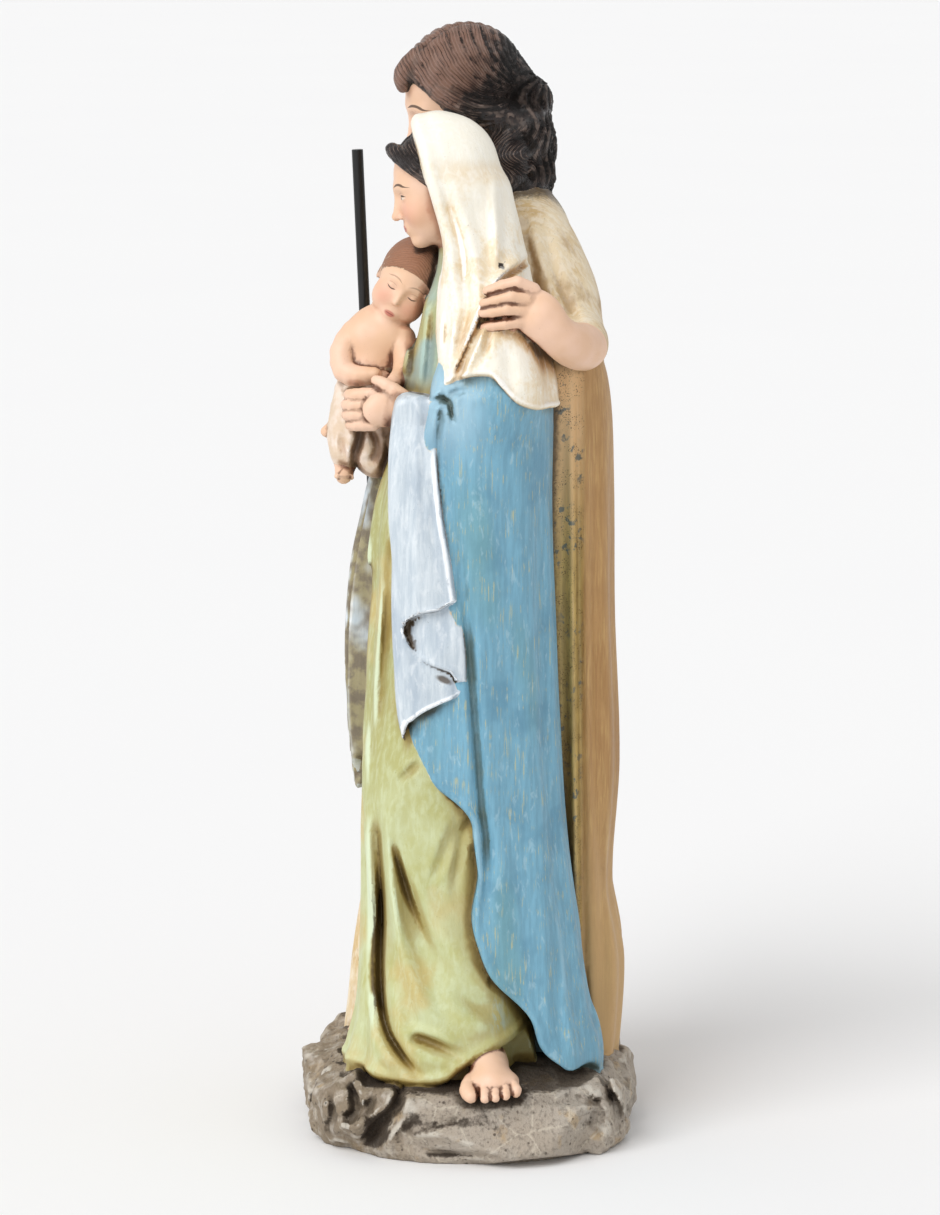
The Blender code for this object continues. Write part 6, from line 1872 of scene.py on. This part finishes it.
def cast_paint(colours):
    """The group's paint: a coat for each layer with its painted shade and highlights, the painted faces, and
    the dark wash and painted shade over all.
    """
    b = ResinBrush("painted_resin", colours)
    strands = combed(b)
    coats = {
        "rock": rock_coat(b), "skin": skin_coat(b), "hair": hair_coat(b, strands),
        "child_hair": child_hair_coat(b, strands), "veil": veil_coat(b), "mantle": mantle_coat(b),
        "lining": lining_coat(b), "dress": dress_coat(b), "swaddle": swaddle_coat(b), "cloak": cloak_coat(b),
        "tunic": tunic_coat(b),
    }
    masks = {name: b.whose(name, b.small) for name in coats}
    col = coats["tunic"]
    for name in LAYERS:
        if name != "tunic":
            col = b.mix(masks[name], col, coats[name])
    col = painted_face(
        b, col, "woman_face", (0.17, 0.11, 0.08), (0.10, 0.07, 0.06), (0.72, 0.33, 0.30), True,
    )
    col = painted_face(b, col, "man_face", (0.17, 0.11, 0.08), (0.10, 0.07, 0.06), (0.68, 0.36, 0.30), True)
    col = painted_face(
        b, col, "child_face", (0.42, 0.26, 0.18), (0.22, 0.13, 0.10), (0.74, 0.36, 0.32), False, 0.45,
    )
    col, strength = washed_and_shaded(b, col, masks)
    b.link(shade_and_spatter(b, col, masks, strength), b.shader.inputs["Base Color"])
    give_grain(b, masks, strands)
    return b.material


def rod_paint(colours):
    b = Brush("black_rod")
    rub = b.noise(900, 4, (1, 1, 0.06))
    col = b.mix(b.ramp(rub, 0.45, 0.7), linear(colours.rod), linear((0.09, 0.085, 0.085)))
    b.link(col, b.shader.inputs["Base Color"])
    b.link(b.sum("MULTIPLY_ADD", rub, 0.25, 0.28), b.shader.inputs["Roughness"])
    b.bump(rub, 0.00002)
    return b.material


def floor_paint():
    b = Brush("pale_floor")
    grain = b.noise(3, 2)
    b.link(
        b.mix(grain, linear((0.950, 0.950, 0.952)), linear((0.956, 0.956, 0.956))),
        b.shader.inputs["Base Color"],
    )
    b.shader.inputs["Roughness"].default_value = 0.9
    b.shader.inputs["Specular IOR Level"].default_value = 0.1
    return b.material


# Sizes and colours that a user would change
COLOUR_CARD = {
    "stone": ("Stone", "Grey of the rock", (0.675, 0.625, 0.565)),
    "skin": ("Skin", "Flesh paint", (0.90, 0.74, 0.61)),
    "hair": ("Hair", "Nearly black paint of the lower hair", (0.13, 0.09, 0.08)),
    "crown": ("Crown of the hair", "Brown brushed over the top of the man's hair", (0.53, 0.40, 0.34)),
    "child_hair": ("Child's hair", "Brown of the child's hair", (0.66, 0.47, 0.36)),
    "veil": ("Veil", "Cream of the veil", (0.96, 0.94, 0.885)),
    "mantle": ("Mantle", "Blue of the mantle", (0.43, 0.615, 0.70)),
    "lining": ("Lining", "Pale blue of the mantle's lining", (0.73, 0.775, 0.81)),
    "dress": ("Dress", "Yellow green of the dress", (0.765, 0.785, 0.60)),
    "swaddle": ("Swaddling", "Pinkish tan of the child's cloth", (0.86, 0.77, 0.67)),
    "cloak": ("Cloak", "Tan of the cloak", (0.72, 0.56, 0.36)),
    "cloak_edge": ("Cloak edge", "Ochre of the cloak's inner edge", (0.79, 0.68, 0.42)),
    "tunic": ("Tunic", "Cream of the tunic", (0.90, 0.83, 0.70)),
    # the wash colour also serves the painted shade in the deepest hollows and at the foot of the figures
    "wash": ("Wash", "Dark wash left in the creases", (0.17, 0.12, 0.07)),
    "rod": ("Staff", "Black of the staff", (0.02, 0.02, 0.02)),
}


class StatueSizes(bpy.types.PropertyGroup):
    grain: bpy.props.FloatProperty(
        name="Grain", description="Fineness of the casting's mesh", default=0.00064, min=0.0004, max=0.002,
        unit="LENGTH", precision=5)
    quick_grain: bpy.props.FloatProperty(
        name="Quick grain", description="Fineness while the work is only looked at", default=0.00095,
        min=0.0005, max=0.003, unit="LENGTH", precision=5)
    triangles: bpy.props.IntProperty(
        name="Triangles", description="Most triangles that the casting keeps", default=195000,
        min=20000, max=199000)
    floor_width: bpy.props.FloatProperty(
        name="Floor width", description="Side of the pale floor", default=60.0, min=5.0, unit="LENGTH")
    camera_distance: bpy.props.FloatProperty(
        name="Camera distance", description="From the camera to the middle of the group", default=1.3,
        min=0.5, unit="LENGTH")
    camera_height: bpy.props.FloatProperty(
        name="Camera elevation", description="How far the camera looks down", default=math.radians(9.0),
        subtype="ANGLE")


class StatueColours(bpy.types.PropertyGroup):
    __annotations__ = {
        name: bpy.props.FloatVectorProperty(
            name=label, description=words, default=value, size=3, min=0.0, max=1.0, subtype="COLOR_GAMMA")
        for name, (label, words, value) in COLOUR_CARD.items()
    }


class STATUE_OT_cast_group(bpy.types.Operator):
    """Cast the figures and their rock in one piece, and paint them"""

    bl_idname = "statue.cast_group"
    bl_label = "Cast and paint the group"
    bl_options = {"REGISTER", "UNDO"}

    def execute(self, context):
        sizes = context.scene.statue_sizes
        grain = sizes.grain
        mid = carver_to_world()
        body, points, normals = cast_mesh("painted_group", grain * MM, sizes.triangles, mid)
        note_surface(body.data, points, normals)
        body.data.normals_split_custom_set_from_vertices(normals.tolist())
        body.data.materials.clear()
        body.data.materials.append(cast_paint(context.scene.statue_colours))
        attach(body, "root")
        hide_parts("family_group")
        return {"FINISHED"}


class STATUE_OT_finish_staff(bpy.types.Operator):
    """Give the round staff its satin black finish"""

    bl_idname = "statue.finish_staff"
    bl_label = "Finish the staff"
    bl_options = {"REGISTER", "UNDO"}

    def execute(self, context):
        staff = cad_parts["staff"]
        paint = rod_paint(context.scene.statue_colours)
        for place in staff.material_slots:
            place.material = paint
        if not staff.material_slots:
            staff.data.materials.append(paint)
        return {"FINISHED"}


def lamp(name, kind, place, target, power):
    light = bpy.data.lights.new(name, kind)
    light.energy = power
    thing = bpy.data.objects.new(name, light)
    bpy.context.scene.collection.objects.link(thing)
    thing.location = place
    thing.rotation_mode = "QUATERNION"
    thing.rotation_quaternion = (Vector(target) - Vector(place)).to_track_quat("-Z", "Y")
    return thing


class STATUE_OT_set_stage(bpy.types.Operator):
    """Lay the pale floor, hang the soft lights and place the camera"""

    bl_idname = "statue.set_stage"
    bl_label = "Set the stage"
    bl_options = {"REGISTER", "UNDO"}

    def execute(self, context):
        sizes = context.scene.statue_sizes
        scene = context.scene
        half = sizes.floor_width / 2
        mesh = bpy.data.meshes.new("pale_floor")
        corners = [(-half, -half, 0), (half, -half, 0), (half, half, 0), (-half, half, 0)]
        mesh.from_pydata(corners, [], [(0, 1, 2, 3)])
        floor = bpy.data.objects.new("pale_floor", mesh)
        scene.collection.objects.link(floor)
        mesh.materials.append(floor_paint())

        scene.world = bpy.data.worlds.new("soft_studio")
        scene.world.use_nodes = True
        sky = scene.world.node_tree.nodes["Background"]
        sky.inputs["Color"].default_value = (1.0, 1.0, 1.0, 1.0)
        sky.inputs["Strength"].default_value = 0.68
        sun = lamp("key", "SUN", (1.0, -0.85, 1.25), (0, 0, 0.15), 1.85)
        sun.data.angle = math.radians(40.0)

        mid = carver_to_world() / MM
        e = sizes.camera_height
        back = Vector((math.cos(e), 0.0, math.sin(e)))
        target = Vector((mid[0], mid[1], 0.150))
        camera = bpy.data.cameras.new("camera")
        eye = bpy.data.objects.new("camera", camera)
        scene.collection.objects.link(eye)
        camera.sensor_width = SENSOR
        camera.lens = SENSOR * FRAME_LENS / FRAME_HEIGHT
        camera.shift_y = FRAME_RISE / FRAME_HEIGHT
        camera.clip_start = 0.05
        camera.clip_end = 200.0
        eye.location = target + back * sizes.camera_distance
        eye.rotation_mode = "QUATERNION"
        eye.rotation_quaternion = (-back).to_track_quat("-Z", "Y")
        scene.camera = eye
        scene.view_settings.view_transform = "Standard"
        return {"FINISHED"}


class STATUE_PT_sidebar(bpy.types.Panel):
    """The statue's pieces, sizes and colours"""

    bl_idname = "STATUE_PT_sidebar"
    bl_label = "Statue"
    bl_space_type = "VIEW_3D"
    bl_region_type = "UI"
    bl_category = "Statue"

    def draw(self, context):
        layout = self.layout
        for kind in OPERATORS:
            layout.operator(kind.bl_idname)
        for group in (context.scene.statue_sizes, context.scene.statue_colours):
            box = layout.box()
            for name in type(group).__annotations__:
                box.prop(group, name)


OPERATORS = (STATUE_OT_set_stage, STATUE_OT_cast_group, STATUE_OT_finish_staff)
CLASSES = (StatueSizes, StatueColours, *OPERATORS, STATUE_PT_sidebar)


def register():
    for kind in CLASSES:
        bpy.utils.register_class(kind)
    bpy.types.Scene.statue_sizes = bpy.props.PointerProperty(type=StatueSizes)
    bpy.types.Scene.statue_colours = bpy.props.PointerProperty(type=StatueColours)


def unregister():
    del bpy.types.Scene.statue_colours
    del bpy.types.Scene.statue_sizes
    for kind in reversed(CLASSES):
        bpy.utils.unregister_class(kind)


def main():
    register()
    bpy.ops.statue.set_stage()
    bpy.ops.statue.cast_group()
    bpy.ops.statue.finish_staff()


if __name__ == "__main__":
    main()
